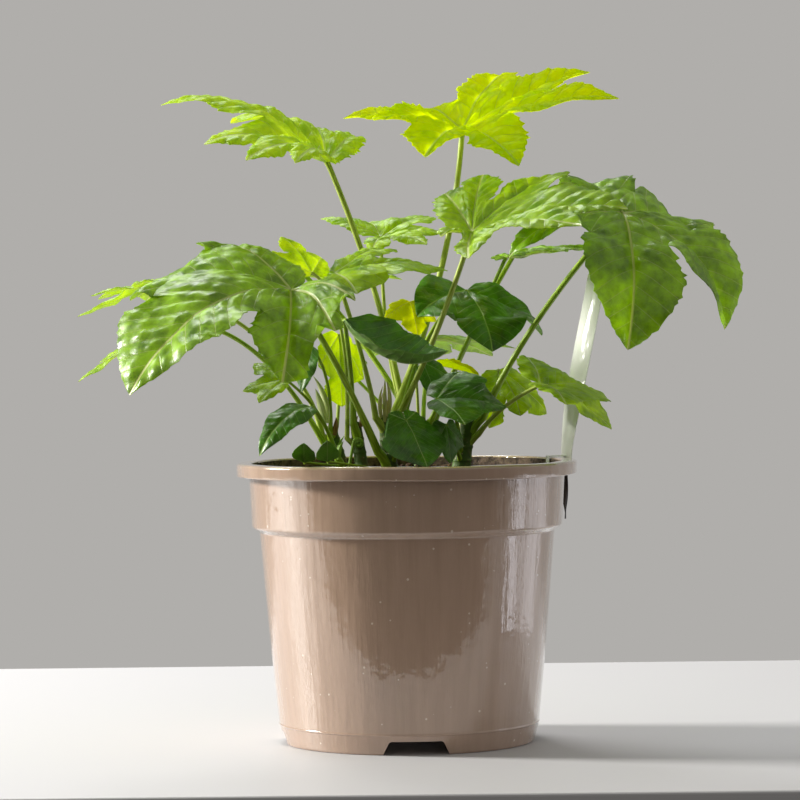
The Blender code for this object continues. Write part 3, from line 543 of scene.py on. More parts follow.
@dataclass
class Pot:
    """The nursery pot: lip, collar, shoulder, tapering body, a raised seam and a notched foot."""

    rim_radius: float = 95.0
    rim_top: float = 156.0
    rim_under: float = 148.7
    collar_top_radius: float = 88.0
    collar_foot_radius: float = 86.5
    collar_foot: float = 120.0
    shoulder_radius: float = 82.3
    shoulder: float = 117.6
    belly_radius: float = 78.0
    belly: float = 66.0
    seam_radius: float = 72.6
    seam: float = 11.0
    foot_radius: float = 70.3
    wall: float = 1.5
    floor_top: float = 10.0
    floor_under: float = 8.0
    notches: int = 4
    notch_foot_width: float = 38.0
    notch_top_width: float = 29.0
    notch_height: float = 7.6
    notch_turn: float = 3.0
    notch_depth: float = 16.0
    notch_round: float = 1.6
    foot_lines: tuple[float, ...] = (-118.0, -107.0, 62.0, 152.0)
    foot_line_width: float = 0.7
    foot_line_relief: float = 0.16
    wave: float = 0.22

    def profile(self) -> list[tuple[float, float]]:
        """Outline from the middle of the floor's underside, up the outside and down to the floor's top.

        Returns:
            The radius and height of each point.
        """
        wall = self.wall
        lip = self.rim_radius
        ridge = self.seam_radius + 0.28
        return rounded([
            (1.0, self.floor_under, 0), (self.seam_radius - wall - 1.6, self.floor_under, 1.0),
            (self.foot_radius - wall - 0.5, 0.5, 0.3), (self.foot_radius - 0.5, 0.0, 0.5),
            (self.foot_radius + 0.15, 0.9, 0.6), (self.seam_radius - 0.12, self.seam - 0.6, 0.3),
            (ridge, self.seam - 0.25, 0.15), (ridge, self.seam + 0.25, 0.15),
            (self.seam_radius + 0.08, self.seam + 0.7, 0.3), (self.belly_radius, self.belly, 20.0),
            (self.shoulder_radius, self.shoulder, 0.9), (self.collar_foot_radius, self.collar_foot, 1.3),
            (self.collar_top_radius, self.rim_under, 0.8), (lip - 0.3, self.rim_under - 0.1, 0.6),
            (lip, self.rim_top - 1.2, 0.5), (lip - 1.2, self.rim_top, 1.3),
            (self.collar_top_radius - wall, self.rim_top, 1.6),
            (self.collar_foot_radius - wall, self.collar_foot + wall, 1.0),
            (self.shoulder_radius - wall, self.shoulder, 1.0), (self.belly_radius - wall, self.belly, 20.0),
            (self.seam_radius - wall, self.floor_top + 2.0, 1.0),
            (self.seam_radius - wall - 1.5, self.floor_top, 0.6), (1.0, self.floor_top, 0)])

    def cut_notches(self, pot: bpy.types.Object) -> None:
        """Cut the drain notches through the foot.

        Args:
            pot: the turned pot.
        """
        narrow = self.notch_top_width / self.notch_foot_width
        for count in range(self.notches):
            turn = math.radians(-90.0 + self.notch_turn + 360.0 * count / self.notches)
            deselect()
            bpy.ops.mesh.primitive_cube_add(size=1.0, location=(0.0, 0.0, 0.0))
            cutter = bpy.context.object
            cutter.hide_render = True
            for corner in cutter.data.vertices:
                high = corner.co.z > 0
                width = self.notch_foot_width * (narrow if high else 1.0)
                corner.co = Vector((self.foot_radius + corner.co.x * self.notch_depth, corner.co.y * width,
                                    self.notch_height if high else -2.0)) * MM
            bpy.ops.object.mode_set(mode="EDIT")
            bpy.ops.mesh.select_all(action="SELECT")
            bpy.ops.mesh.bevel(offset=self.notch_round * MM, segments=5, affect="EDGES")
            bpy.ops.object.mode_set(mode="OBJECT")
            cutter.rotation_euler.z = turn
            bpy.ops.object.transform_apply(location=True, rotation=True, scale=True)
            step = pot.modifiers.new("notch", "BOOLEAN")
            step.operation = "DIFFERENCE"
            step.object = cutter
            step.solver = "EXACT"
            deselect()
            bpy.context.view_layer.objects.active = pot
            bpy.ops.object.modifier_apply(modifier=step.name)
            bpy.data.objects.remove(cutter, do_unlink=True)

    def build(self) -> bpy.types.Object:
        """Make the pot, with the waviness of a thin moulding on its lip and collar.

        Fine ridges stand on the foot where its mould parts.

        Returns:
            The finished pot.
        """
        pot = Turned("pot_shell", self.profile()).build()
        self.cut_notches(pot)
        for corner in pot.data.vertices:
            x, y, z = corner.co / MM
            turn = math.atan2(y, x)
            share = smooth(z, self.collar_foot, self.rim_under)
            lift = self.wave * share * (math.sin(3 * turn + 0.7) + 0.6 * math.sin(7 * turn + 2.1))
            push = 1.0 + 0.0016 * share * math.sin(5 * turn + 1.1)
            ridge = 0.0
            for line_turn in self.foot_lines:
                gap = (turn - math.radians(line_turn) + math.pi) % (2 * math.pi) - math.pi
                rise = self.foot_line_relief * math.exp(-(gap * self.foot_radius / self.foot_line_width) ** 2)
                ridge += rise * (z < self.seam - 1.0)
            outward = push + ridge / self.foot_radius * (math.hypot(x, y) > self.foot_radius - 0.6)
            corner.co = Vector((x * outward, y * outward, z + lift)) * MM
        pot.data.set_sharp_from_angle(angle=math.radians(38.0))
        # The collar's inner wall above the compost takes a dark brown finish
        for face in pot.data.polygons:
            inward = face.normal.x * face.center.x + face.normal.y * face.center.y < 0
            face.material_index = int(inward and self.collar_foot < face.center.z / MM < self.rim_top - 0.8)
        return settle(pot, [PotPlastic("taupe moulded polypropylene"),
                                             Earth("darkened inner polypropylene", "#2A211A", "#7A6656", 5.0)],
                      ["pot"])


@dataclass
class Compost:
    """The compost's top: a shallow mound of peat with crumbs, bark and white grains on it."""

    edge: float = 145.0
    crown: float = 151.5
    span: float = 80.3
    ripple: float = 0.7
    sunk: float = 0.6
    bed_radius: float = 84.4
    bed_shoulder: float = 143.0
    bed_rings: int = 56
    crumbs: int = 1150
    fineness: float = 2.2
    seed: int = 21

    def height(self, x: float, y: float) -> float:
        """Height of the mound in millimetres above the pot's foot.

        Args:
            x: place in millimetres.
            y: place in millimetres.

        Returns:
            The height with its lumps.
        """
        reach = math.hypot(x, y) / self.span
        smoothed = self.crown + (self.edge - self.crown) * reach ** 2
        smoothed += self.ripple * math.sin(0.11 * x + 1.3) * math.cos(0.09 * y - 0.4)
        lumps = 1.1 * noise.noise(Vector((x, y, 3.0)) / 9.0) + 0.7 * noise.noise(Vector((x, y, 8.0)) / 3.5)
        return smoothed + lumps - self.sunk

    def bed(self) -> bpy.types.Object:
        """The mound and the compost's sides under it, clear of the pot's wall.

        Returns:
            The bed.
        """
        top = self.bed_radius
        profile = [(1.0, 11.0), (66.0, 11.0), (69.0, 14.0), (75.2, 66.0), (79.6, 118.0), (83.8, 122.0),
                   (84.6, 142.5)]
        profile += [(top - (top - 1.0) * step / self.bed_rings, self.bed_shoulder + 1.0)
                    for step in range(self.bed_rings + 1)]
        bed = Turned("compost_bed", profile, 220).build()
        for corner in bed.data.vertices:
            x, y, z = corner.co / MM
            if z > self.bed_shoulder:
                corner.co.z = self.height(x, y) * MM
        return settle(bed, [Earth("peat compost", "#1C130D", "#4A3524", 3.5)], ["compost"])

    def grain(self, flat: float, rough: float, draws: random.Random, cuts: int) -> tuple[np.ndarray, list]:
        """One grain's shape, from a ball primitive knocked out of round.

        Args:
            flat: its height against its width.
            rough: how far its points stray.
            draws: the seeded numbers.
            cuts: how finely the ball is cut.

        Returns:
            Its points, about 1 across, and its faces.
        """
        deselect()
        bpy.ops.mesh.primitive_ico_sphere_add(subdivisions=cuts, radius=0.5)
        ball = bpy.context.object
        bpy.ops.object.mode_set(mode="EDIT")
        bpy.ops.mesh.select_all(action="SELECT")
        bpy.ops.transform.resize(value=(1.0, draws.uniform(0.6, 0.95), flat))
        bpy.ops.transform.vertex_random(offset=rough, seed=draws.randrange(1, 900))
        bpy.ops.object.mode_set(mode="OBJECT")
        points = np.array([corner.co for corner in ball.data.vertices])
        faces = [list(face.vertices) for face in ball.data.polygons]
        bpy.data.objects.remove(ball, do_unlink=True)
        return points, faces

    def scatter(self, name: str, count: int, sizes: tuple[float, float], flat: float, finish: Finish,
                within: float = 82.0, cuts: int = 2) -> bpy.types.Object:
        """Strew grains over the mound and join them.

        Args:
            name: the joined piece's name.
            count: how many.
            sizes: least and greatest width in millimetres.
            flat: a grain's height against its width.
            finish: their finish.
            within: how far from the pot's axis they lie, in millimetres.
            cuts: how finely each is cut.

        Returns:
            The joined piece.
        """
        draws = random.Random(self.seed + count)
        shapes = [self.grain(flat, 0.12, draws, cuts) for _ in range(4)]
        points, faces, total = [], [], 0
        for _ in range(count):
            shape, corners = draws.choice(shapes)
            size = sizes[0] + (sizes[1] - sizes[0]) * draws.random() ** self.fineness
            reach = (within - 0.5 * size) * math.sqrt(draws.random())
            turn = draws.uniform(0.0, 2 * math.pi)
            x, y = reach * math.cos(turn), reach * math.sin(turn)
            lean = Matrix.Rotation(draws.uniform(0, 6.28), 3, "Z") @ Matrix.Rotation(
                draws.uniform(-0.5, 0.5), 3, "X")
            placed = shape @ np.array(lean).T * size + (x, y, self.height(x, y) + 0.18 * size * flat)
            points.append(placed)
            faces += [[corner + total for corner in face] for face in corners]
            total += len(placed)
        return settle(link_mesh(name, np.vstack(points), faces), [finish], [])

    def build(self) -> list[bpy.types.Object]:
        """Make the bed and what lies on it.

        Returns:
            The pieces.
        """
        return [self.bed(),
                self.scatter("compost_crumbs", self.crumbs, (1.2, 5.2), 0.8,
                             Earth("peat crumb", "#20150E", "#5C4029", 1.6)),
                self.scatter("compost_bark", 34, (4.0, 12.0), 0.35,
                             Earth("composted bark", "#3C2618", "#8A6844", 1.5), 78.0),
                self.scatter("compost_grit", 46, (1.2, 3.4), 0.85,
                             Earth("expanded perlite", "#B9B2A6", "#EDE9E0", 0.8), 80.0)]


@dataclass(frozen=True)
class LeafPlan:
    """One leaf in the source's own terms: where it hangs, how it lies and how its lobes differ."""

    stem: str
    share: float
    hub: tuple[float, float, float]
    aim: tuple[float, float, float]
    size: float
    lobes: tuple[int, int]
    spread: float = 42
    bend: float = 20
    dish: float = 0
    full: float = 0.22
    lean: float = 0.35
    rise: float = 0.50
    changes: dict = field(default_factory=dict)
    cuts: dict = field(default_factory=dict)
    fold: float = -0.1
    late: float = 1.4
    girth: float = 1.25


# Stems: foot on the compost (x, y), tip (x, y, z), radius at foot and at tip
STEMS = {
    "middle": ((-9, -6), (-12, -4, 182), 4.6, 3.4),
    "right": ((30, 0), (35, 2, 180), 5.4, 3.8),
    "left": ((-34, -6), (-42, -4, 176), 3.8, 2.9),
    "side": ((-24, -22), (-28, -21, 179), 3.8, 3.0),
    "front": ((-8, -42), (-9, -43, 162), 3.8, 3.2),
    "back": ((9, 38), (8, 44, 180), 4.4, 3.2),
}

# Leaves: stem and share of its height, the lobes' meeting point, the middle lobe's turn, rise and roll,
# its length, first and last lobe, the angle between lobes, how far they bend, the dish of the whole leaf,
# a lobe's fullness, and the stalk's lean and rise. A lobe's change is its stretch, swing, lift and
# fullness, and a cut tells how far a lobe is joined to the next one
PLANS = {
    "upper_left": LeafPlan("back", 0.55, (-43, 20, 325), (168, 20, -11), 94, (-3, 3), 32, 61, 16, 0.2,
                           0.24, 0.48, changes={-3: (0.95, 6, 5), 0: (1.17, -2, 6), 1: (0.86, 6, 1),
                           2: (0.96, 6, 5), 3: (0.99, -6, 9)}, fold=-0.18, late=1.8),
    "top": LeafPlan("middle", 0.93, (34, 45, 343), (21, 13, 20), 99, (-4, 3), 43, 30, 21, 0.23, 0.85, 0.5,
                    changes={-4: (1.06, 2, 12, 1.6), -3: (1.12, 0, 2, 0.75), -2: (0.96, -7, -5, 0.9),
                    -1: (1.0, 5, 4), 0: (0.84, -5, 5), 1: (0.97, 6, -7, 0.85), 2: (0.6, 0, -14, 0.7),
                    3: (1.04, -1, -9)}, cuts={-4: 0.66, -2: 0.38, -1: 0.36, 0: 0.38}, fold=0.19, late=1.2),
    "upper_right": LeafPlan("middle", 0.8, (37, -45, 282), (-9, 14, 20), 84, (-3, 3), 38, 28, 13, 0.28,
                            0.56, 0.44, changes={-3: (0.75, 10, 14), -2: (0.87, -12, 1),
                            0: (1.05, -9, -5), 1: (0.94, 6, 1), 2: (0.99, 9, 5), 3: (1.0, -9, 4)},
                            cuts={0: 0.5, 1: 0.29, 2: 0.6}, fold=0.17),
    "right_big": LeafPlan("right", 0.9, (121, -20, 292), (-15, -16, 15), 88, (-2, 2), 62, 76, 7, 0.36,
                          0.33, 0.5, changes={-2: (0.95, -20, -1, 0.85), -1: (1.12, -1, -9),
                          0: (1.05, -9, -2), 1: (0.79, -3, 3), 2: (0.94, 11, 11)}, cuts={-2: 0.32,
                          -1: 0.37}, fold=0.31, late=1.1),
    "middle_dark": LeafPlan("middle", 0.62, (35, 16, 251), (-62, -20, -3), 52, (-1, 1), 60, 41, -2, 0.4,
                            0.27, 0.72, changes={-1: (0.92, -4, 4, 1.25), 0: (1.04, -6, -2),
                            1: (1.04, 6, -2)}, cuts={-1: 0.69, 0: 0.5}, fold=0.3),
    "left_big": LeafPlan("front", 0.85, (-61, -75, 251), (-143, 5, -15), 94, (-2, 3), 38, 69, 16, 0.29,
                         0.41, 0.53, changes={-2: (0.84, -7, 20, 1.2), -1: (1.03, -4, 3),
                         0: (1.31, 7, -8), 1: (0.78, 23, -22, 1.1), 2: (0.68, 9, 3, 1.2),
                         3: (0.72, -15, 20)}, cuts={-2: 0.65, -1: 0.65, 0: 0.35, 1: 0.86, 2: 0.82},
                         fold=0.07, late=0.9),
    "left_behind": LeafPlan("side", 0.6, (-51, -22, 261), (138, 39, 1), 32, (-1, 1), 58, 33, 10, 0.36,
                            -0.19, 0.84, changes={-1: (1.0, 4, -1), 0: (1.01, -2, 5)}),
    "centre_light": LeafPlan("middle", 0.88, (-38, -28, 261), (6, 10, 13), 62, (-1, 1), 44, 37, 8, 0.26,
                             0.14, 0.31, changes={-1: (0.58, -34, -7, 1.5), 0: (1.04, 3, -3),
                             1: (0.96, 1, 4)}, cuts={-1: 0.5, 0: 0.37}),
    "centre_back": LeafPlan("back", 0.75, (-13, 40, 282), (50, 14, 8), 44, (-3, 2), 50, 38, 14, 0.3, 0.95,
                            0.27, changes={-2: (1.0, 2, 3), -1: (0.85, 0, 0), 0: (1.09, -4, 4),
                            2: (1.05, 0, 13)}),
    "left_far": LeafPlan("left", 0.72, (-133, 5, 256), (182, -10, 5), 53, (-2, 2), 36, 15, 4, 0.2, 0.12,
                         0.61, changes={-1: (0.99, 0, 5), 0: (1.0, -1, -7)}),
    "left_lower": LeafPlan("left", 0.5, (-130, -25, 233), (186, -28, 0), 58, (-1, 1), 40, 11, 4, 0.2,
                           0.45, 1.1, changes={0: (1.01, 0, -3)}),
    "young_yellow": LeafPlan("back", 0.4, (3, 6, 245), (-79, -39, -3), 22, (-1, 1), 51, 32, 0, 0.34, 0.18,
                             0.5, changes={-1: (0.99, -1, 5), 0: (1.08, 5, -4), 1: (0.91, -2, -1)},
                             cuts={-1: 0.55, 0: 0.55}),
    "centre_dark": LeafPlan("side", 0.9, (-33, -48, 235), (-1, -54, 27), 67, (0, 0), 46, -92, 0, 0.36,
                            0.12, 0.48, changes={0: (1.04, -1, -2)}, fold=0.68, late=1.2),
    "front_heart": LeafPlan("front", 0.9, (0, -54, 180), (-56, -54, 2), 30, (-1, 1), 122, 14, 0, 0.6,
                            0.13, 0.63, changes={-1: (0.36, 0, 0), 0: (1.01, 4, 3), 1: (0.36, 0, 0)},
                            cuts={-1: 0.5, 0: 0.5}),
    "right_dark": LeafPlan("right", 0.45, (17, -32, 191), (-1, 2, 16), 39, (-1, 1), 61, 27, 6, 0.36,
                           -0.07, 0.89, changes={-1: (0.99, -5, -3), 0: (1.0, 0, -5), 1: (1.0, 6, 13)},
                           cuts={-1: 0.6, 0: 0.7}),
    "right_rolled": LeafPlan("right", 0.86, (17, 22, 210), (-18, -7, 0), 30, (0, 0), 50, 21, 0, 0.34,
                             0.09, 0.5, changes={0: (0.99, -1, -3)}, fold=0.5),
    "right_pale": LeafPlan("right", 0.62, (53, 34, 206), (-52, -48, 7), 39, (-1, 1), 42, 37, 6, 0.34,
                           0.39, 0.4, changes={-1: (1.09, 11, -4), 0: (0.88, -4, 7), 1: (1.02, -4, -5)},
                           cuts={-1: 0.6, 0: 0.65}),
    "right_low": LeafPlan("right", 0.62, (75, -16, 198), (-15, -20, 7), 50, (-1, 2), 58, 32, 6, 0.32,
                          0.33, 0.6, changes={-1: (0.98, 0, 10), 0: (0.95, -3, -5), 1: (1.08, 1, 4),
                          2: (1.03, 4, 11)}, cuts={-1: 0.5, 0: 0.6, 1: 0.5}),
    "right_behind": LeafPlan("back", 0.86, (58, 34, 270), (0, 8, 0), 54, (-2, 1), 44, 14, 4, 0.26, 0.51,
                             0.52),
    "left_small": LeafPlan("left", 0.42, (-66, -40, 203), (184, -4, -30), 25, (-1, 1), 49, 18, 0, 0.34,
                           0.09, 0.55, changes={-1: (1.04, -2, 7), 0: (0.96, 2, -5)}),
    "left_hanging": LeafPlan("left", 0.86, (-51, -52, 221), (-122, -67, -3), 27, (0, 0), 46, 12, 0, 0.32,
                             -0.2, 0.63, changes={0: (1.0, -2, 1)}),
    "left_drooping": LeafPlan("left", 0.3, (-51, -46, 188), (233, -3, -17), 51, (0, 0), 40, 76, 0, 0.26,
                              0.28, 0.54, changes={0: (1.03, 4, 2)}),
    "left_lit": LeafPlan("left", 0.9, (-37, 6, 227), (-71, -74, -19), 35, (-1, 1), 36, 6, 0, 0.34, 0.95,
                         0.1, changes={-1: (0.87, -6, 10), 0: (1.18, 0, -3), 1: (0.86, -5, 1)},
                         cuts={-1: 0.75, 0: 0.75}),
    "deep_right": LeafPlan("right", 0.25, (22, -32, 177), (-46, -74, -10), 23, (-1, 1), 53, 14, 0, 0.46,
                           0.39, 0.45, changes={-1: (1.03, 5, 1), 0: (0.96, -1, -1), 1: (0.95, 3, -4)}),
    "right_shade": LeafPlan("middle", 0.38, (10, -3, 211), (-44, -58, 4), 22, (0, 1), 54, 14, 0, 0.46,
                            0.26, 0.49, changes={0: (1.02, -1, -2), 1: (0.96, 4, 1)}, cuts={0: 0.6}),
    "back_left": LeafPlan("back", 0.96, (-58, 66, 262), (116, 0, 0), 80, (-2, 3), 40, 16, 4, 0.26, 0.35,
                          0.5),
    "back_right": LeafPlan("back", 0.7, (83, 71, 302), (70, 0, 0), 72, (-3, 3), 40, 16, 4, 0.26, 0.35, 0.5),
    "back_low": LeafPlan("back", 0.62, (14, 81, 225), (88, -6, 0), 58, (-2, 2), 42, 18, 0, 0.26, 0.35, 0.5),
    "back_small": LeafPlan("back", 0.42, (-42, 66, 214), (140, 4, 0), 38, (-2, 2), 44, 20, 0, 0.26, 0.35,
                           0.5),
    "rim_round_left": LeafPlan("left", 0.08, (-56, -34, 157), (-100, 54, 0), 15, (0, 0), 40, 5, 0, 0.62,
                               0.35, 0.5, changes={0: (0.96, 7, -2)}),
    "rim_round_right": LeafPlan("front", 0.12, (-43, -54, 158), (-80, 57, 0), 15, (0, 0), 40, 5, 0, 0.58,
                                0.35, 0.5, changes={0: (0.98, -4, -1)}),
}

# Leaves in the sun, whose stalks are painted paler as painted light
SUNLIT = ("upper_left", "top", "upper_right", "centre_light", "young_yellow", "right_pale", "right_low",
          "left_far", "left_lit", "centre_back", "left_behind", "right_rolled")

# Leaves by age, some with painted light and some with painted shade; the ones not named are mature
TINTS = {
    Tint.YELLOW: ("young_yellow",),
    Tint.YOUNG: ("top", "right_rolled"),
    Tint.LIME: ("upper_left", "left_lit", "left_behind"),
    Tint.FRESH: ("left_far", "left_lower", "centre_light", "centre_back",
                 "upper_right", "right_pale", "right_low", "left_small", "back_left"),
    Tint.DEEP: ("middle_dark", "left_drooping", "centre_dark", "front_heart", "right_dark", "right_shade",
                "deep_right", "left_hanging", "rim_round_left", "rim_round_right"),
}


@dataclass
class Stem:
    """One short stem with ringed joints where old leaves sat."""

    name: str
    sides: int = 40
    rings: int = 110
    joint: float = 7.5
    joint_swell: float = 0.085
    foot_swell: float = 0.12
    sunk: float = 2.5

    def axis(self) -> tuple[np.ndarray, np.ndarray, float, float]:
        """Where the stem stands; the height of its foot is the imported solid's.

        Returns:
            Foot, tip, and the radius at foot and at tip, in millimetres.
        """
        foot, tip, foot_radius, tip_radius = STEMS[self.name]
        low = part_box("stem_" + self.name)[0].z / MM
        return np.array([foot[0], foot[1], low]), np.array(tip, float), foot_radius, tip_radius

    def build(self) -> bpy.types.Object:
        """Draw the stem up ring by ring, with its joints, ridges and a rounded tip.

        Returns:
            The stem.
        """
        base, tip, foot_radius, tip_radius = self.axis()
        base = base - (0.0, 0.0, self.sunk)
        length = np.linalg.norm(tip - base)
        along = (tip - base) / length
        phase = sum(map(ord, self.name))
        points, chart = [], []
        for ring in range(self.rings + 1):
            share = ring / self.rings
            radius = foot_radius + (tip_radius - foot_radius) * share
            beat = share * length / self.joint + 0.13 * phase
            ringed = self.joint_swell * math.exp(-((beat % 1.0 - 0.5) / 0.10) ** 2)
            radius *= 1.0 + ringed + self.foot_swell * (1 - share) ** 8
            radius *= math.sqrt(max(0.03, 1 - max(0.0, (share - 0.94) / 0.06) ** 2))
            for side in range(self.sides):
                turn = 2 * math.pi * side / self.sides
                x, y = math.cos(turn), math.sin(turn)
                rough = 0.035 * noise.noise(Vector((3 * x, 3 * y, share * 14 + phase)))
                rough += 0.012 * math.sin(9 * turn + 0.6 * beat)
                spoke = np.array([x, y, 0.0]) * radius * (1 + rough)
                points.append(base + along * share * length + spoke)
        faces = [list(range(self.sides))[::-1]]
        for ring in range(self.rings):
            for side in range(self.sides):
                after = (side + 1) % self.sides
                low, high = ring * self.sides, (ring + 1) * self.sides
                faces.append([low + side, low + after, high + after, high + side])
        faces.append([self.rings * self.sides + side for side in range(self.sides)])
        piece = link_mesh("stem_" + self.name + "_bark", np.array(points), faces)
        return settle(piece, [StemBark("green bark")], ["stem_" + self.name])


def leaf_axes(head: float, rise: float, roll: float) -> tuple[np.ndarray, np.ndarray, np.ndarray]:
    """Directions of a leaf from how it lies.

    Args:
        head: turn of its middle lobe about Z, in degrees.
        rise: how far that lobe points up, in degrees.
        roll: how far the leaf rolls about that lobe, in degrees.

    Returns:
        Unit directions along the middle lobe, to its left, and out of the upper face.
    """
    head, rise, roll = (math.radians(value) for value in (head, rise, roll))
    along = np.array([math.cos(rise) * math.cos(head), math.cos(rise) * math.sin(head), math.sin(rise)])
    left = np.array([-math.sin(head), math.cos(head), 0.0])
    face = np.cross(along, left)
    return (along, math.cos(roll) * left + math.sin(roll) * face,
            math.cos(roll) * face - math.sin(roll) * left)


def free_width(share: np.ndarray) -> np.ndarray:
    """Half width of a lobe's free part against its length: fullest near a third, pointed."""
    return 1.72 * share ** 0.55 * np.maximum(1 - share, 0.0) ** 0.9


@dataclass
class Lobe:
    """One lobe's middle line: where it heads, which way is up, how long it is and how it bends."""

    order: int
    direction: np.ndarray
    upward: np.ndarray
    length: float
    bend: float
    angle: float
    full: float
    late: float
    steps: int = 12

    def on_bend(self, start: np.ndarray, share: np.ndarray) -> tuple[np.ndarray, np.ndarray]:
        """Points and upward directions along the lobe, which bends down more and more.

        Args:
            start: where the lobes meet.
            share: shares of the length.

        Returns:
            One row of each for each share.
        """
        share = np.asarray(share)[:, None]
        turns = self.bend * (share * (np.arange(self.steps) + 0.5) / self.steps) ** self.late
        forward = np.cos(turns).sum(axis=1, keepdims=True)
        down = np.sin(turns).sum(axis=1, keepdims=True)
        points = start + self.length * share / self.steps * (forward * self.direction - down * self.upward)
        last = self.bend * share ** self.late
        return points, np.cos(last) * self.upward + np.sin(last) * self.direction


@dataclass
class Seam:
    """The line that two lobes share: its points and their numbers, its reach, and half their angle."""

    numbers: np.ndarray
    spots: np.ndarray
    reach: float
    half: float


@dataclass
class Blade:
    """A leaf's blade by the source's rule, with more stations, veins, puckers and toothed margins."""

    plan: LeafPlan
    seed: int
    step: float = 1.15
    lobe_fall: tuple = (1.0, 0.96, 0.88, 0.76, 0.62)
    lobe_cut: float = 0.42
    tooth_pitch: float = 5.4
    teeth: float = 1.0
    puff: float = 0.0165
    groove: float = 0.010
    wave: float = 0.016
    unrest: float = 0.020
    rib: float = 0.0125
    points: list = field(default_factory=list)
    under: list = field(default_factory=list)
    faces: list = field(default_factory=list)
    chart: list = field(default_factory=list)

    def lobes(self) -> list[Lobe]:
        """Lay out the leaf's lobes by the rule.

        Returns:
            The lobes from the rightmost to the leftmost.
        """
        plan = self.plan
        along, left, face = leaf_axes(*plan.aim)
        made = []
        for order in range(plan.lobes[0], plan.lobes[1] + 1):
            stretch, swing, lift, *fullness = plan.changes.get(order, (1.0, 0.0, 0.0))
            angle = math.radians(order * plan.spread + swing)
            flat = math.cos(angle) * along + math.sin(angle) * left
            lift = math.radians(lift + plan.dish)
            length = plan.size * self.lobe_fall[abs(order)] * stretch
            made.append(Lobe(order, math.cos(lift) * flat + math.sin(lift) * face,
                             math.cos(lift) * face - math.sin(lift) * flat, length,
                             math.radians(plan.bend) * math.sqrt(length / plan.size), angle,
                             plan.full * (fullness[0] if fullness else 1.0), plan.late))
        return made

    def add_points(self, points: np.ndarray, depth: np.ndarray | float) -> np.ndarray:
        """Keep points and how thick the blade is at each.

        Args:
            points: one row for each point.
            depth: the blade's thickness at each, or one for all.

        Returns:
            The points' numbers.
        """
        first = len(self.points)
        self.points += list(points)
        self.under += list(np.broadcast_to(depth, len(points)))
        return np.arange(first, first + len(points))

    def relief(self, share: np.ndarray, across: np.ndarray, out: np.ndarray, length: float,
               joined: np.ndarray) -> np.ndarray:
        """Height of the blade's relief above its smooth surface.

        Args:
            share: share of the lobe's length at each point.
            across: distance from the midrib in millimetres, a row for each station.
            out: share of the half width, as a row.
            length: the lobe's length.
            joined: 1 where the station's edge is a seam with the next lobe, 0 where it is free.

        Returns:
            Heights in millimetres.
        """
        size = self.plan.size
        beat = (share * length / size - VEIN_SLANT * across / size) * VEIN_PAIRS
        pucker = np.sin(math.pi * (beat % 1.0)) ** 0.8 * smooth(across / size, 0.008, 0.05)
        pucker *= 0.45 + 0.55 * np.abs(np.sin(math.pi * (across / (0.09 * size) + 0.5 * np.floor(beat))))
        pucker *= 1 - out ** 5
        valley = -np.exp(-across / (0.022 * size)) * (1 - share) ** 0.5
        valley = valley * smooth(share, 0.0, 0.12)
        wave = np.sin(2 * math.pi * (share * length / size * 2.6 + 0.37 * self.seed))
        wave = wave * out ** 2 * (1 - joined)
        free = self.wave * wave * np.minimum(1.0, (1 - share) * 4)
        return size * (self.puff * pucker + self.groove * valley + free)

    def swell(self, points: np.ndarray, hub: np.ndarray, face: np.ndarray) -> np.ndarray:
        """Lay a slow unevenness on the whole blade, none where the lobes meet.

        Args:
            points: one row for each point.
            hub: where the lobes meet.
            face: the direction out of the upper face.

        Returns:
            The moved points.
        """
        size = self.plan.size
        moved = points.copy()
        for spot in moved:
            reach = min(1.0, float(np.linalg.norm(spot - hub)) / (0.25 * size))
            draw = noise.noise(Vector(spot) / (0.30 * size) + Vector((self.seed, 0, 0)))
            spot += face * self.unrest * size * reach * draw
        return moved

    def seam(self, one: Lobe, two: Lobe, steps: np.ndarray, skin: float) -> Seam:
        """Lay out the line that two neighbouring lobes share, as far as the cut between them.

        Args:
            one: the first lobe.
            two: the next one.
            steps: shares of the line at its points.
            skin: how thick the blade is there.

        Returns:
            The seam.
        """
        plan = self.plan
        hub = np.array(plan.hub, float)
        half = (two.angle - one.angle) / 2
        length = (one.length + two.length) / 2
        cut = plan.cuts.get(one.order, self.lobe_cut)
        direction = (one.direction + two.direction) / np.linalg.norm(one.direction + two.direction)
        upward = one.upward + two.upward
        upward = upward - np.dot(upward, direction) * direction
        upward = upward / np.linalg.norm(upward)
        line = Lobe(0, direction, upward, length, (one.bend + two.bend) / 2, 0.0, 0.0, plan.late)
        spots, ups = line.on_bend(hub, cut * steps / max(math.cos(half), 0.5))
        spots = spots + 0.03 * length * steps[:, None] * ups
        numbers = self.add_points(self.swell(spots, hub, leaf_axes(*plan.aim)[2]), skin)
        return Seam(numbers, spots, cut * length, half)

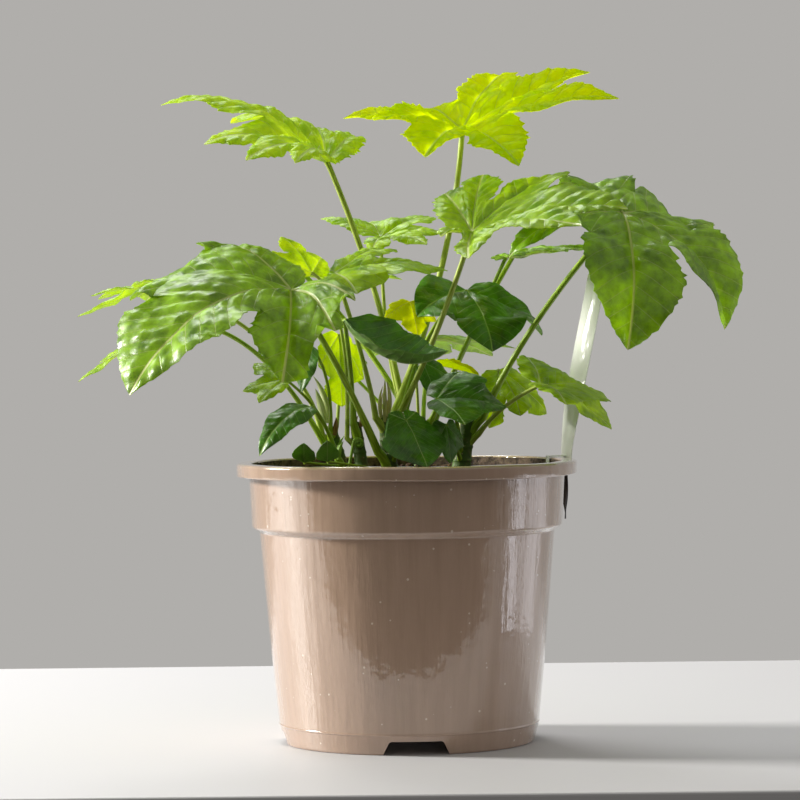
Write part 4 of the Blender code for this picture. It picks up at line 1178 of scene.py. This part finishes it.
    def grow(self) -> None:
        """Lay out every half lobe's grid between its midrib and its seam or margin."""
        plan = self.plan
        size = plan.size
        hub = np.array(plan.hub, float)
        face = leaf_axes(*plan.aim)[2]
        lobes = self.lobes()
        joined_steps = max(6, round(self.lobe_cut * size / self.step))
        free_steps = max(12, round((1 - self.lobe_cut) * size / self.step))
        columns = max(5, round(0.17 * size / self.step) + 1)
        t_joined = np.arange(1, joined_steps + 1) / joined_steps
        t_free = (np.arange(1, free_steps + 1) / free_steps) ** 1.15
        skin = 0.34 + 0.0012 * size
        hub_number = self.add_points(hub[None], skin + 0.010 * size)[0]
        seams = [self.seam(one, two, t_joined, skin) for one, two in zip(lobes, lobes[1:])]
        room = math.tan(min(1.2, (2 * math.pi - lobes[-1].angle + lobes[0].angle) / 2 - 0.05))
        out = np.linspace(0, 1, columns + 1)[None, 1:]
        for place, lobe in enumerate(lobes):
            hands = {1: seams[place] if place < len(seams) else None,
                     -1: seams[place - 1] if place else None}
            cuts = {hand: min(0.92, seam.reach / lobe.length) for hand, seam in hands.items() if seam}
            cut = sum(cuts.values()) / len(cuts) if cuts else self.lobe_cut
            shares = np.concatenate([cut * t_joined, cut + (1 - cut) * t_free])
            ribs, ups = lobe.on_bend(hub, shares)
            rib_depth = skin + self.rib * size * (1 - shares) ** 0.8
            zero = np.zeros((len(shares), 1))
            groove = self.relief(shares[:, None], zero, zero, lobe.length, zero)
            rib_numbers = self.add_points(self.swell(ribs + ups * groove, hub, face), rib_depth)
            for hand, seam in hands.items():
                own_cut = cuts.get(hand, cut)
                own = np.concatenate([own_cut * t_joined, own_cut + (1 - own_cut) * t_free])
                edges = self.edge_line(lobe, own, hand, seam, own_cut, room)
                joined = np.repeat([float(seam is not None), 0.0], [joined_steps, free_steps])[:, None]
                reach = np.linalg.norm(edges - ribs, axis=1)[:, None]
                across = reach * out
                between = shares[:, None] * (1 - out) + own[:, None] * out
                spots = ribs[:, None] + (edges - ribs)[:, None] * out[..., None]
                arch = 0.10 * reach * out * (1 - out)
                lift = self.relief(between, across, out, lobe.length, joined)
                lift = lift * (1 - joined * smooth(out, 0.8, 1.0)) + arch
                spots = spots + ups[:, None] * lift[..., None]
                flat = self.swell(spots.reshape(-1, 3), hub, face)
                ribbed = np.exp(-(across / (0.011 * size)) ** 2)
                depth = skin + self.rib * size * ribbed * (1 - between) ** 0.8
                grid = np.empty((len(shares) + 1, columns + 1), int)
                grid[0] = hub_number
                grid[1:, 0] = rib_numbers
                grid[1:, 1:] = self.add_points(flat, depth.ravel()).reshape(len(shares), columns)
                if seam:
                    grid[1:joined_steps + 1, -1] = seam.numbers
                grid[-1] = rib_numbers[-1]
                start = np.zeros((1, columns + 1))
                u = np.vstack([start, np.hstack([shares[:, None], between])]) * lobe.length / size
                v = np.vstack([start, np.hstack([zero, across])]) * hand / size
                self.add_faces(grid, u, v, hand)

    def edge_line(self, lobe: Lobe, shares: np.ndarray, hand: int, seam: Seam | None, cut: float,
                  room: float) -> np.ndarray:
        """The outer line of a half lobe: its seam as far as the cut, then its toothed free margin.

        Args:
            lobe: the lobe.
            shares: its stations on that hand.
            hand: 1 for its left half and -1 for its right.
            seam: the seam on that side, if another lobe joins it there.
            cut: share of the length at which the lobes part.
            room: tangent of the widest angle that an outer margin may take.

        Returns:
            The line's points.
        """
        size = self.plan.size
        ribs, ups = lobe.on_bend(np.array(self.plan.hub, float), shares)
        side = hand * np.cross(lobe.upward, lobe.direction)
        free = np.clip((shares - cut) / (1 - cut), 0.0, 1.0)
        if seam:
            wide = 0.9 * (1 - free) * seam.reach * math.tan(seam.half) / lobe.length
            wide = wide + lobe.full * free_width(0.12 + 0.88 * free) * free / (free + 0.12)
            wide = np.minimum(wide, 0.94 * math.tan(seam.half) * shares)
        else:
            wide = np.minimum(1.12 * lobe.full * free_width(0.04 + 0.96 * shares), 0.94 * room * shares)
        beat = shares * lobe.length / self.tooth_pitch + 0.31 * self.seed + 0.5 * (hand < 0)
        beat = beat + 0.25 * np.sin(1.9 * beat + lobe.order)
        deep = (1.0 + 0.020 * size) * self.teeth * (0.85 + 0.35 * np.sin(2.7 * beat + self.seed))
        tooth = ((beat % 1.0) ** 1.7 - 0.35) * deep
        fade = smooth(shares, cut + 0.02 if seam else 0.06, cut + 0.12 if seam else 0.22)
        tooth *= fade * (1 - shares ** 8)
        reach = wide * lobe.length
        reach = reach + np.clip(tooth, -0.16 * reach, 0.16 * reach)
        edges = ribs + (side + self.plan.fold * ups) * reach[:, None]
        if seam:
            count = len(seam.spots)
            edges += (seam.spots[-1] - edges[count - 1]) * ((1 - free) ** 5)[:, None]
            edges[:count] = seam.spots
        return edges

    def add_faces(self, grid: np.ndarray, u: np.ndarray, v: np.ndarray, hand: int) -> None:
        """Keep the faces of one grid with their places on the chart.

        Args:
            grid: point numbers, a row for each station.
            u: place along the lobe at each.
            v: place across it at each.
            hand: 1 for the lobe's left half and -1 for its right.
        """
        rows, columns = grid.shape
        for row in range(rows - 1):
            for column in range(columns - 1):
                corners = [(row, column), (row + 1, column), (row + 1, column + 1), (row, column + 1)]
                if hand < 0:
                    corners = corners[::-1]
                kept, seen = [], set()
                for corner in corners:
                    number = int(grid[corner])
                    if number not in seen:
                        seen.add(number)
                        kept.append((number, (u[corner], v[corner])))
                if len(kept) > 2:
                    self.faces.append([number for number, _ in kept])
                    self.chart.append([spot for _, spot in kept])

    def shell(self) -> tuple[np.ndarray, list, list, list]:
        """Close the surface into a thin body with ribs standing out below.

        Returns:
            Points, faces, the chart of each face's corners, and each face's finish: 0 upper, 1 under.
        """
        used = sorted({corner for face in self.faces for corner in face})
        renumber = {old: new for new, old in enumerate(used)}
        top = np.array(self.points)[used]
        depth = np.array(self.under)[used]
        faces = [[renumber[corner] for corner in face] for face in self.faces]
        normals = np.zeros_like(top)
        for face in faces:
            a, b, c = top[face[0]], top[face[1]], top[face[-1]]
            normals[face] += np.cross(b - a, c - a)
        normals /= np.maximum(np.linalg.norm(normals, axis=1)[:, None], 1e-9)
        count = len(top)
        points = np.vstack([top, top - normals * depth[:, None]])
        shell = faces + [[corner + count for corner in face[::-1]] for face in faces]
        chart = self.chart + [spots[::-1] for spots in self.chart]
        marks = [0] * len(faces) + [1] * len(faces)
        edges = {}
        for face, spots in zip(faces, self.chart):
            for place, corner in enumerate(face):
                after = (place + 1) % len(face)
                edges[(corner, face[after])] = (spots[place], spots[after])
        for (one, two), (first, second) in edges.items():
            if (two, one) not in edges:
                shell.append([two, one, one + count, two + count])
                chart.append([second, first, first, second])
                marks.append(1)
        return points, shell, chart, marks


def tube(path: np.ndarray, radii: np.ndarray, sides: int,
         flat: float = 1.0) -> tuple[np.ndarray, list, list]:
    """A round or flattened skin along a path, closed at both ends.

    Its chart runs along the path, one unit to 30 mm, and once round it.

    Args:
        path: its middle line.
        radii: its radius at each point.
        sides: how many sides it has.
        flat: its thickness against its width.

    Returns:
        Points, faces, and the chart of each face's corners.
    """
    along = np.gradient(path, axis=0)
    along /= np.linalg.norm(along, axis=1)[:, None]
    across = np.cross(along[0], (0.2, 0.3, 0.93))
    points = []
    for spot, ahead, radius in zip(path, along, radii):
        across = across - np.dot(across, ahead) * ahead
        across = across / np.linalg.norm(across)
        other = np.cross(ahead, across) * flat
        for side in range(sides):
            turn = 2 * math.pi * side / sides
            points.append(spot + radius * (math.cos(turn) * across + math.sin(turn) * other))
    travelled = np.concatenate([[0.0], np.cumsum(np.linalg.norm(np.diff(path, axis=0), axis=1))])
    travelled = travelled / STALK_CHART_UNIT
    faces = [list(range(sides))[::-1]]
    chart = [[(0.0, side / sides) for side in range(sides)]]
    for ring in range(len(path) - 1):
        for side in range(sides):
            after = (side + 1) % sides
            low, high = ring * sides, (ring + 1) * sides
            faces.append([low + side, low + after, high + after, high + side])
            v0, v1 = side / sides, (side + 1) / sides
            chart.append([(travelled[ring], v0), (travelled[ring], v1),
                          (travelled[ring + 1], v1), (travelled[ring + 1], v0)])
    last = (len(path) - 1) * sides
    faces.append([last + side for side in range(sides)])
    chart.append([(travelled[-1], side / sides) for side in range(sides)])
    return np.array(points), faces, chart


@dataclass
class Stalk:
    """A leaf's stalk: from a swollen foot on its stem, along one easy curve, to the lobes' meeting point."""

    plan: LeafPlan
    steps: int = 44
    sheath_steps: int = 10

    def path(self) -> tuple[np.ndarray, np.ndarray]:
        """Draw the stalk's middle line by the source's rule.

        Returns:
            Points along the stalk, and its radius at each.
        """
        plan = self.plan
        base, top, foot_radius, tip_radius = Stem(plan.stem).axis()
        hub = np.array(plan.hub, float)
        up = (top - base) / np.linalg.norm(top - base)
        stem_point = base + (top - base) * plan.share
        swell = 1.05 if plan.share > 0.62 else 1.09
        stem_radius = (foot_radius + (tip_radius - foot_radius) * plan.share) * swell
        outward = (hub - stem_point) * (1, 1, 0)
        outward = outward / np.linalg.norm(outward)
        radius = plan.girth * (0.55 + 0.0115 * plan.size)
        seat = stem_point + outward * (stem_radius + 0.3 + 1.3 * radius * max(0.0, np.dot(outward, up)))
        start = seat + outward * (1.7 * radius + 0.2) + np.array([0.0, 0.0, 1.2 * radius])
        control = start + (hub - start) * np.array([plan.lean, plan.lean, plan.rise])
        t = np.linspace(0, 1, self.steps + 1)[:, None]
        curve = (1 - t) ** 2 * start + 2 * t * (1 - t) * control + t * t * hub
        curve[-1] -= leaf_axes(*plan.aim)[2] * 0.5
        # The foot clasps the stem as a sheath that parts from it slowly
        root = stem_point + outward * 0.4 * stem_radius - up * 3.6 * radius
        clasp = stem_point + outward * (stem_radius + 0.2 * radius) - up * 0.2 * radius
        s = np.linspace(0, 1, self.sheath_steps)[:-1, None]
        sheath = (1 - s) ** 2 * root + 2 * s * (1 - s) * clasp + s * s * start
        girth = radius * (1.2 - 0.3 * np.minimum(1.0, 4 * t[:, 0]) - 0.15 * t[:, 0])
        girth = girth * (1 + 0.16 * np.exp(-((1 - t[:, 0]) / 0.02) ** 2))
        return np.vstack([sheath, curve]), np.concatenate([girth[0] * (1.32 - 0.32 * s[:, 0]), girth])


@dataclass
class Leaf:
    """A whole leaf: its blade and its stalk, in one piece with three finishes."""

    name: str
    seed: int
    stalk_sides: int = 14
    dark_teeth: float = 0.25

    def tint(self) -> Tint:
        """The leaf's age with any painted light and shade, mature unless the table says otherwise."""
        return next((tint for tint, names in TINTS.items() if self.name in names), Tint.MATURE)

    def build(self) -> bpy.types.Object:
        """Grow the blade and the stalk and join their meshes.

        Returns:
            The leaf.
        """
        plan = PLANS[self.name]
        tint = self.tint()
        # Leaves in deep shade have a nearly smooth margin
        blade = Blade(plan, self.seed, teeth=self.dark_teeth if tint is Tint.DEEP else 1.0)
        blade.grow()
        points, faces, chart, marks = blade.shell()
        stalk_points, stalk_faces, stalk_chart = tube(*Stalk(plan).path(), self.stalk_sides)
        count = len(points)
        faces = faces + [[corner + count for corner in face] for face in stalk_faces]
        marks = marks + [2] * len(stalk_faces)
        spots = [spot for face in chart + stalk_chart for spot in face]
        piece = link_mesh("leaf_" + self.name + "_grown", np.vstack([points, stalk_points]), faces, spots)
        piece.data.polygons.foreach_set("material_index", marks)
        # The tint's name, which may stand for painted shade, names the leaf's materials
        age_and_light = tint.name.lower()
        # Stalks of leaves in the sun are painted paler, as painted light
        stalk = (StalkSkin("sunlit stalk painted paler", "#96AC34", "#C8D66C") if self.name in SUNLIT
                 else StalkSkin("green stalk", "#7C9C12", "#B0CE40"))
        return settle(piece, [LeafSkin(age_and_light + " leaf upper side", tint, True),
                                    LeafSkin(age_and_light + " leaf underside", tint, False), stalk],
                      ["leaf_" + self.name])


@dataclass(frozen=True)
class Tuft:
    """A cluster of bud scales or folded young leaves round one place on a stem."""

    spot: tuple[float, float, float]
    heights: tuple[float, ...]
    lean: tuple[float, float]
    ring: float
    girth: float
    flat: float
    finish: int


@dataclass
class Shoots:
    """What sprouts at the stems' tips: dry bud scales, pale folded leaves and one still curled up."""

    tufts: tuple[Tuft, ...] = (
        Tuft((-12.0, -6.0, 178.0), (23.0, 17.0, 24.0, 14.0, 20.0), (0.02, 0.0), 1.5, 1.5, 0.4, 0),
        Tuft((-26.0, -23.0, 176.0), (8.0, 6.0, 7.0), (0.1, 0.0), 1.5, 1.4, 0.5, 1),
        Tuft((-41.0, -8.0, 171.0), (10.0, 8.0, 9.0), (0.15, -0.1), 1.6, 1.6, 0.5, 1),
        Tuft((-44.0, -12.0, 178.0), (26.0, 19.0), (-0.28, -0.1), 1.3, 3.0, 0.7, 2),
        Tuft((-37.0, -20.0, 158.0), (13.0, 10.0), (0.25, -0.2), 1.2, 1.6, 0.7, 3))
    curl_foot: tuple[float, float, float] = (-32.0, -27.0, 152.0)
    curl_rise: float = 15.0
    curl_reach: float = 2.6
    steps: int = 16
    sides: int = 12

    def finger(self, tuft: Tuft, count: int) -> tuple[np.ndarray, np.ndarray]:
        """One scale's middle line and its half width along it.

        Args:
            tuft: its cluster.
            count: its number there.

        Returns:
            The line's points and the half widths.
        """
        turn = 2.4 * count + 0.7 * tuft.finish
        outward = np.array([math.cos(turn), math.sin(turn), 0.0])
        height = tuft.heights[count]
        foot = np.array(tuft.spot) + outward * tuft.ring
        tip = foot + np.array([tuft.lean[0] * height, tuft.lean[1] * height, height])
        tip = tip - outward * 0.4 * tuft.ring
        bulge = foot + outward * 0.14 * height + np.array([0.0, 0.0, 0.6 * height])
        t = np.linspace(0, 1, self.steps)[:, None]
        path = (1 - t) ** 2 * foot + 2 * t * (1 - t) * bulge + t * t * tip
        wide = tuft.girth * (0.55 + 1.1 * t[:, 0] * (1 - t[:, 0])) * (1 - t[:, 0] ** 3) + 0.12
        return path, wide

    def curl(self) -> tuple[np.ndarray, np.ndarray]:
        """Draw the young leaf that is still curled up like a crozier.

        Returns:
            The points of its middle line, and the half width at each.
        """
        foot = np.array(self.curl_foot)
        rise = np.linspace(0, 1, 12)[:, None]
        stalk = foot + rise * np.array([3.0, -1.0, self.curl_rise])
        turn = np.linspace(0, 2.6 * math.pi, 40)[:, None]
        reach = self.curl_reach * (1 - 0.75 * turn / turn[-1])
        middle = stalk[-1] + np.array([self.curl_reach, 0.0, 0.0])
        spiral = middle + reach * np.hstack([-np.cos(turn), -0.25 * np.sin(turn), np.sin(turn)])
        path = np.vstack([stalk[:-1], spiral])
        return path, np.concatenate([np.linspace(0.8, 0.9, 11), np.linspace(1.0, 1.5, 40)])

    def build(self) -> bpy.types.Object:
        """Draw every scale and the curl, and join them.

        Returns:
            The joined piece.
        """
        drawn = [(*self.finger(tuft, count), tuft.flat, tuft.finish)
                 for tuft in self.tufts for count in range(len(tuft.heights))]
        drawn.append((*self.curl(), 1.0, 3))
        points, faces, chart, marks, total = [], [], [], [], 0
        for path, wide, flat, finish in drawn:
            skin, corners, spots = tube(path, wide, self.sides, flat)
            points.append(skin)
            faces += [[corner + total for corner in face] for face in corners]
            chart += [spot for face in spots for spot in face]
            marks += [finish] * len(corners)
            total += len(skin)
        piece = link_mesh("young_shoots", np.vstack(points), faces, chart)
        piece.data.polygons.foreach_set("material_index", marks)
        return settle(piece, [StalkSkin("dry straw bud scale", "#B4A868", "#E6DEB4"),
                                            StalkSkin("brown bud scale", "#70482A", "#B08C5C"),
                                            StalkSkin("pale folded young leaf", "#BCC87C", "#ECF0C4"),
                                            StalkSkin("curled young leaf", "#6E9A2A", "#AED05A")], [])


@dataclass
class Label:
    """The blank label: a glossy strip that leans out past the rim, a hook over it, and a foot painted near
    black as the shade under the rim.
    """

    turn: float = 20.0
    low: float = 149.5
    high: float = 262.0
    foot: float = 121.0
    lean: float = 21.0
    half_width: float = 8.5
    out: float = 95.7
    bend_from: float = 157.0
    thick: float = 0.45
    twist: tuple[float, float] = (7.0, 17.0)
    hook_drop: float = 8.0

    def shape(self, piece: bpy.types.Object, low: float, high: float, widths: tuple[float, float],
              curl: float) -> None:
        """Bend a flat grid of unit size to the strip's course.

        Args:
            piece: the grid, X across and Y along, from -0.5 to 0.5.
            low: height of its lower end in millimetres.
            high: height of its upper end.
            widths: half width at the lower end and where it is widest.
            curl: how far its edges curl outwards, in millimetres.
        """
        turn = math.radians(self.turn)
        out = Vector((math.cos(turn), math.sin(turn), 0.0))
        side = Vector((-out.y, out.x, 0.0))
        for corner in piece.data.vertices:
            across = 2 * corner.co.x
            share = corner.co.y + 0.5
            height = low + (high - low) * share
            half = widths[0] + (widths[1] - widths[0]) * float(smooth(share, 0.0, 0.34))
            half *= math.sqrt(max(0.02, 1 - max(0.0, (share - 0.975) / 0.025) ** 2))
            climb = max(0.0, (height - self.bend_from) / (self.high - self.bend_from))
            reach = self.out + self.lean * climb ** 1.25 + curl * across ** 2
            reach += 0.5 * math.sin(7.0 * share + 2 * across)
            reach += 0.35 * across * math.sin(4.2 * share)
            twist = math.radians(self.twist[0] + (self.twist[1] - self.twist[0]) * climb)
            wide = side * math.cos(twist) - out * math.sin(twist)
            corner.co = (out * reach + wide * across * half + Vector((0.0, 0.0, height))) * MM

    def strip(self, name: str, low: float, high: float, widths: tuple[float, float], curl: float,
              finish: Finish) -> bpy.types.Object:
        """One strip: a grid bent to its course and given its thickness.

        Args:
            name: the piece's name.
            low: height of its lower end in millimetres.
            high: height of its upper end.
            widths: half width at the lower end and where it is widest.
            curl: how far its edges curl outwards.
            finish: its finish.

        Returns:
            The strip.
        """
        deselect()
        bpy.ops.mesh.primitive_grid_add(x_subdivisions=14, y_subdivisions=90, size=1.0)
        piece = bpy.context.object
        piece.name = piece.data.name = name
        self.shape(piece, low, high, widths, curl)
        step = piece.modifiers.new("thickness", "SOLIDIFY")
        step.thickness = self.thick * MM
        step.offset = 0.0
        bpy.ops.object.modifier_apply(modifier=step.name)
        piece.data.shade_smooth()
        piece.data.set_sharp_from_angle(angle=math.radians(45.0))
        return settle(piece, [finish], ["label"])

    def hook(self, finish: Finish) -> bpy.types.Object:
        """The tongue that goes over the rim and down inside it.

        Args:
            finish: its finish.

        Returns:
            The tongue.
        """
        deselect()
        bpy.ops.mesh.primitive_cube_add(size=1.0)
        piece = bpy.context.object
        piece.name = piece.data.name = "label_hook"
        for corner in piece.data.vertices:
            x, y, z = corner.co
            corner.co = Vector((90.5 + 10.0 * x, 4.6 * y, 156.75 + 0.5 * z)) * MM
        bpy.ops.object.mode_set(mode="EDIT")
        bpy.ops.mesh.select_mode(type="FACE")
        bpy.ops.mesh.select_all(action="DESELECT")
        bpy.ops.object.mode_set(mode="OBJECT")
        for face in piece.data.polygons:
            face.select = face.normal.x < -0.9
        bpy.ops.object.mode_set(mode="EDIT")
        bpy.ops.mesh.extrude_region_move(TRANSFORM_OT_translate={"value": (-0.5 * MM, 0.0, 0.0)})
        bpy.ops.mesh.select_all(action="DESELECT")
        bpy.ops.object.mode_set(mode="OBJECT")
        for face in piece.data.polygons:
            face.select = face.normal.z < -0.9 and face.center.x < 85.6 * MM
        bpy.ops.object.mode_set(mode="EDIT")
        bpy.ops.mesh.extrude_region_move(TRANSFORM_OT_translate={"value": (0.0, 0.0, -self.hook_drop * MM)})
        bpy.ops.mesh.select_all(action="SELECT")
        bpy.ops.mesh.bevel(offset=0.15 * MM, segments=2, affect="EDGES")
        bpy.ops.object.mode_set(mode="OBJECT")
        piece.rotation_euler.z = math.radians(self.turn)
        bpy.ops.object.transform_apply(location=True, rotation=True, scale=True)
        return settle(piece, [finish], ["label"])

    def build(self) -> list[bpy.types.Object]:
        """Make the strip, its foot outside the pot painted dark as shade, and its hook.

        Returns:
            The pieces.
        """
        white = Film("blank polystyrene sheet", "#F2F4EE", 0.12, 0.30)
        # Painted shade: the foot under the rim's lip is coloured near black
        dark = Film("label foot painted black as shade", "#141414", 0.3)
        return [self.strip("label_strip", self.low, self.high, (6.4, self.half_width), 1.3, white),
                self.strip("label_foot", self.foot, self.low + 6.0, (0.7, 2.6), 0.2, dark),
                self.hook(white)]


@dataclass
class Studio:
    """A pale table in a plain grey surround, the lamps and the camera.

    The key stands low at the left. A weaker lamp stands high behind, and two small ones low at the right
    show in the pot's gloss.
    """

    back_edge: float = 0.43
    front_edge: float = -0.222
    left_edge: float = -0.95
    right_edge: float = 0.95
    table_thickness: float = 0.03
    aim_height: float = 0.18
    bright_surround: str = "#B0AEAB"
    dim_surround: str = "#A29F9A"
    dark_surround: str = "#383532"
    key_turn: float = 171.0
    key_rise: float = 21.0
    key_distance: float = 2.4
    key_size: float = 0.42
    key_power: float = 98.0
    strip_spot: tuple[float, float, float] = (0.36, -0.05, 0.058)
    strip_size: tuple[float, float] = (0.060, 0.105)
    strip_power: float = 0.040
    panel_spot: tuple[float, float, float] = (0.40, 0.10, 0.05)
    panel_size: tuple[float, float] = (0.16, 0.10)
    panel_power: float = 0.045
    back_spot: tuple[float, float, float] = (-0.60, 1.5, 2.0)
    back_size: tuple[float, float] = (1.0, 0.8)
    back_power: float = 26.0
    sensor: float = 36.0
    lens: float = 148.23
    camera_spot: tuple[float, float, float] = (-0.0032, -1.837, 0.2229)
    camera_down: float = 1.026
    camera_roll: float = 0.63

    def table(self) -> None:
        """The pale table top, a slab that runs on behind the pot."""
        deselect()
        bpy.ops.mesh.primitive_cube_add(size=1.0)
        slab = bpy.context.object
        slab.name = slab.data.name = "table_top"
        for corner in slab.data.vertices:
            depth = self.front_edge + (self.back_edge - self.front_edge) * (corner.co.y + 0.5)
            across = self.left_edge + (self.right_edge - self.left_edge) * (corner.co.x + 0.5)
            corner.co = Vector((across, depth, (corner.co.z - 0.5) * self.table_thickness))
        bpy.ops.object.mode_set(mode="EDIT")
        bpy.ops.mesh.select_all(action="SELECT")
        bpy.ops.mesh.bevel(offset=0.0015, segments=3, affect="EDGES")
        bpy.ops.object.mode_set(mode="OBJECT")
        slab.data.materials.append(Painted("white painted board", "#CCCCCF").material())

    def lamp(self, name: str, spot: Vector, size: tuple[float, float], power: float, colour: str) -> None:
        """A soft rectangular lamp that faces the plant.

        Args:
            name: its name.
            spot: where it stands.
            size: its width and height.
            power: its power in watts.
            colour: its colour.
        """
        light = bpy.data.lights.new(name, "AREA")
        light.shape = "RECTANGLE"
        light.size, light.size_y = size
        light.energy = power
        light.color = linear(colour)[:3]
        holder = bpy.data.objects.new(name, light)
        holder.location = spot
        aim = Vector((0.0, 0.0, self.aim_height)) - spot
        holder.rotation_euler = aim.to_track_quat("-Z", "Y").to_euler()
        holder.visible_camera = False
        bpy.context.scene.collection.objects.link(holder)

    def camera(self) -> None:
        """The camera at the photograph's place, looking slightly down and a little rolled."""
        data = bpy.data.cameras.new("camera")
        data.lens = self.lens
        data.sensor_width = self.sensor
        down, roll = math.radians(self.camera_down), math.radians(self.camera_roll)
        turned = Matrix.Rotation(math.pi / 2 - down, 4, "X") @ Matrix.Rotation(-roll, 4, "Z")
        holder = bpy.data.objects.new("camera", data)
        holder.matrix_world = Matrix.Translation(self.camera_spot) @ turned
        bpy.context.scene.collection.objects.link(holder)
        bpy.context.scene.camera = holder

    def build(self) -> None:
        """Set the table, the surround, the lamps and the camera."""
        self.table()
        turn, rise = math.radians(self.key_turn), math.radians(self.key_rise)
        toward = Vector((math.cos(turn) * math.cos(rise), math.sin(turn) * math.cos(rise), math.sin(rise)))
        key_spot = Vector((0.0, 0.0, self.aim_height)) + toward * self.key_distance
        self.lamp("key", key_spot, (self.key_size, self.key_size), self.key_power, "#FFFCF6")
        self.lamp("strip", Vector(self.strip_spot), self.strip_size, self.strip_power, "#F6F6FF")
        self.lamp("panel", Vector(self.panel_spot), self.panel_size, self.panel_power, "#F6F6FF")
        self.lamp("back", Vector(self.back_spot), self.back_size, self.back_power, "#FFFFFF")
        world = bpy.data.worlds.new("surround")
        bpy.context.scene.world = world
        world.use_nodes = True
        tree = world.node_tree
        heading = add_node(tree, "SeparateXYZ", {0: add_node(tree, "TexCoord").outputs["Generated"]})
        share = add_node(tree, "MapRange", {"Value": heading.outputs["Y"], "From Min": -0.5, "From Max": 0.6})
        height = add_node(tree, "MapRange", {"Value": heading.outputs["Z"], "From Min": -0.10,
                                             "From Max": 0.30})
        front = add_node(tree, "Mix", {"Factor": height, "A": linear(self.dark_surround),
                                       "B": linear(self.dim_surround)}, data_type="RGBA")
        tone = add_node(tree, "Mix", {"Factor": share, "A": front,
                                      "B": linear(self.bright_surround)}, data_type="RGBA")
        tree.links.new(live(tone), tree.nodes["Background"].inputs["Color"])
        bpy.context.scene.view_settings.view_transform = "Standard"
        self.camera()


def main() -> None:
    """Build the studio, the pot with its compost and label, and then the plant."""
    logging.basicConfig(level=logging.INFO, format="%(name)s: %(message)s")
    Studio().build()
    Pot().build()
    Compost().build()
    Label().build()
    for name in STEMS:
        Stem(name).build()
    Shoots().build()
    for seed, name in enumerate(PLANS):
        Leaf(name, seed).build()


if __name__ == "__main__":
    main()
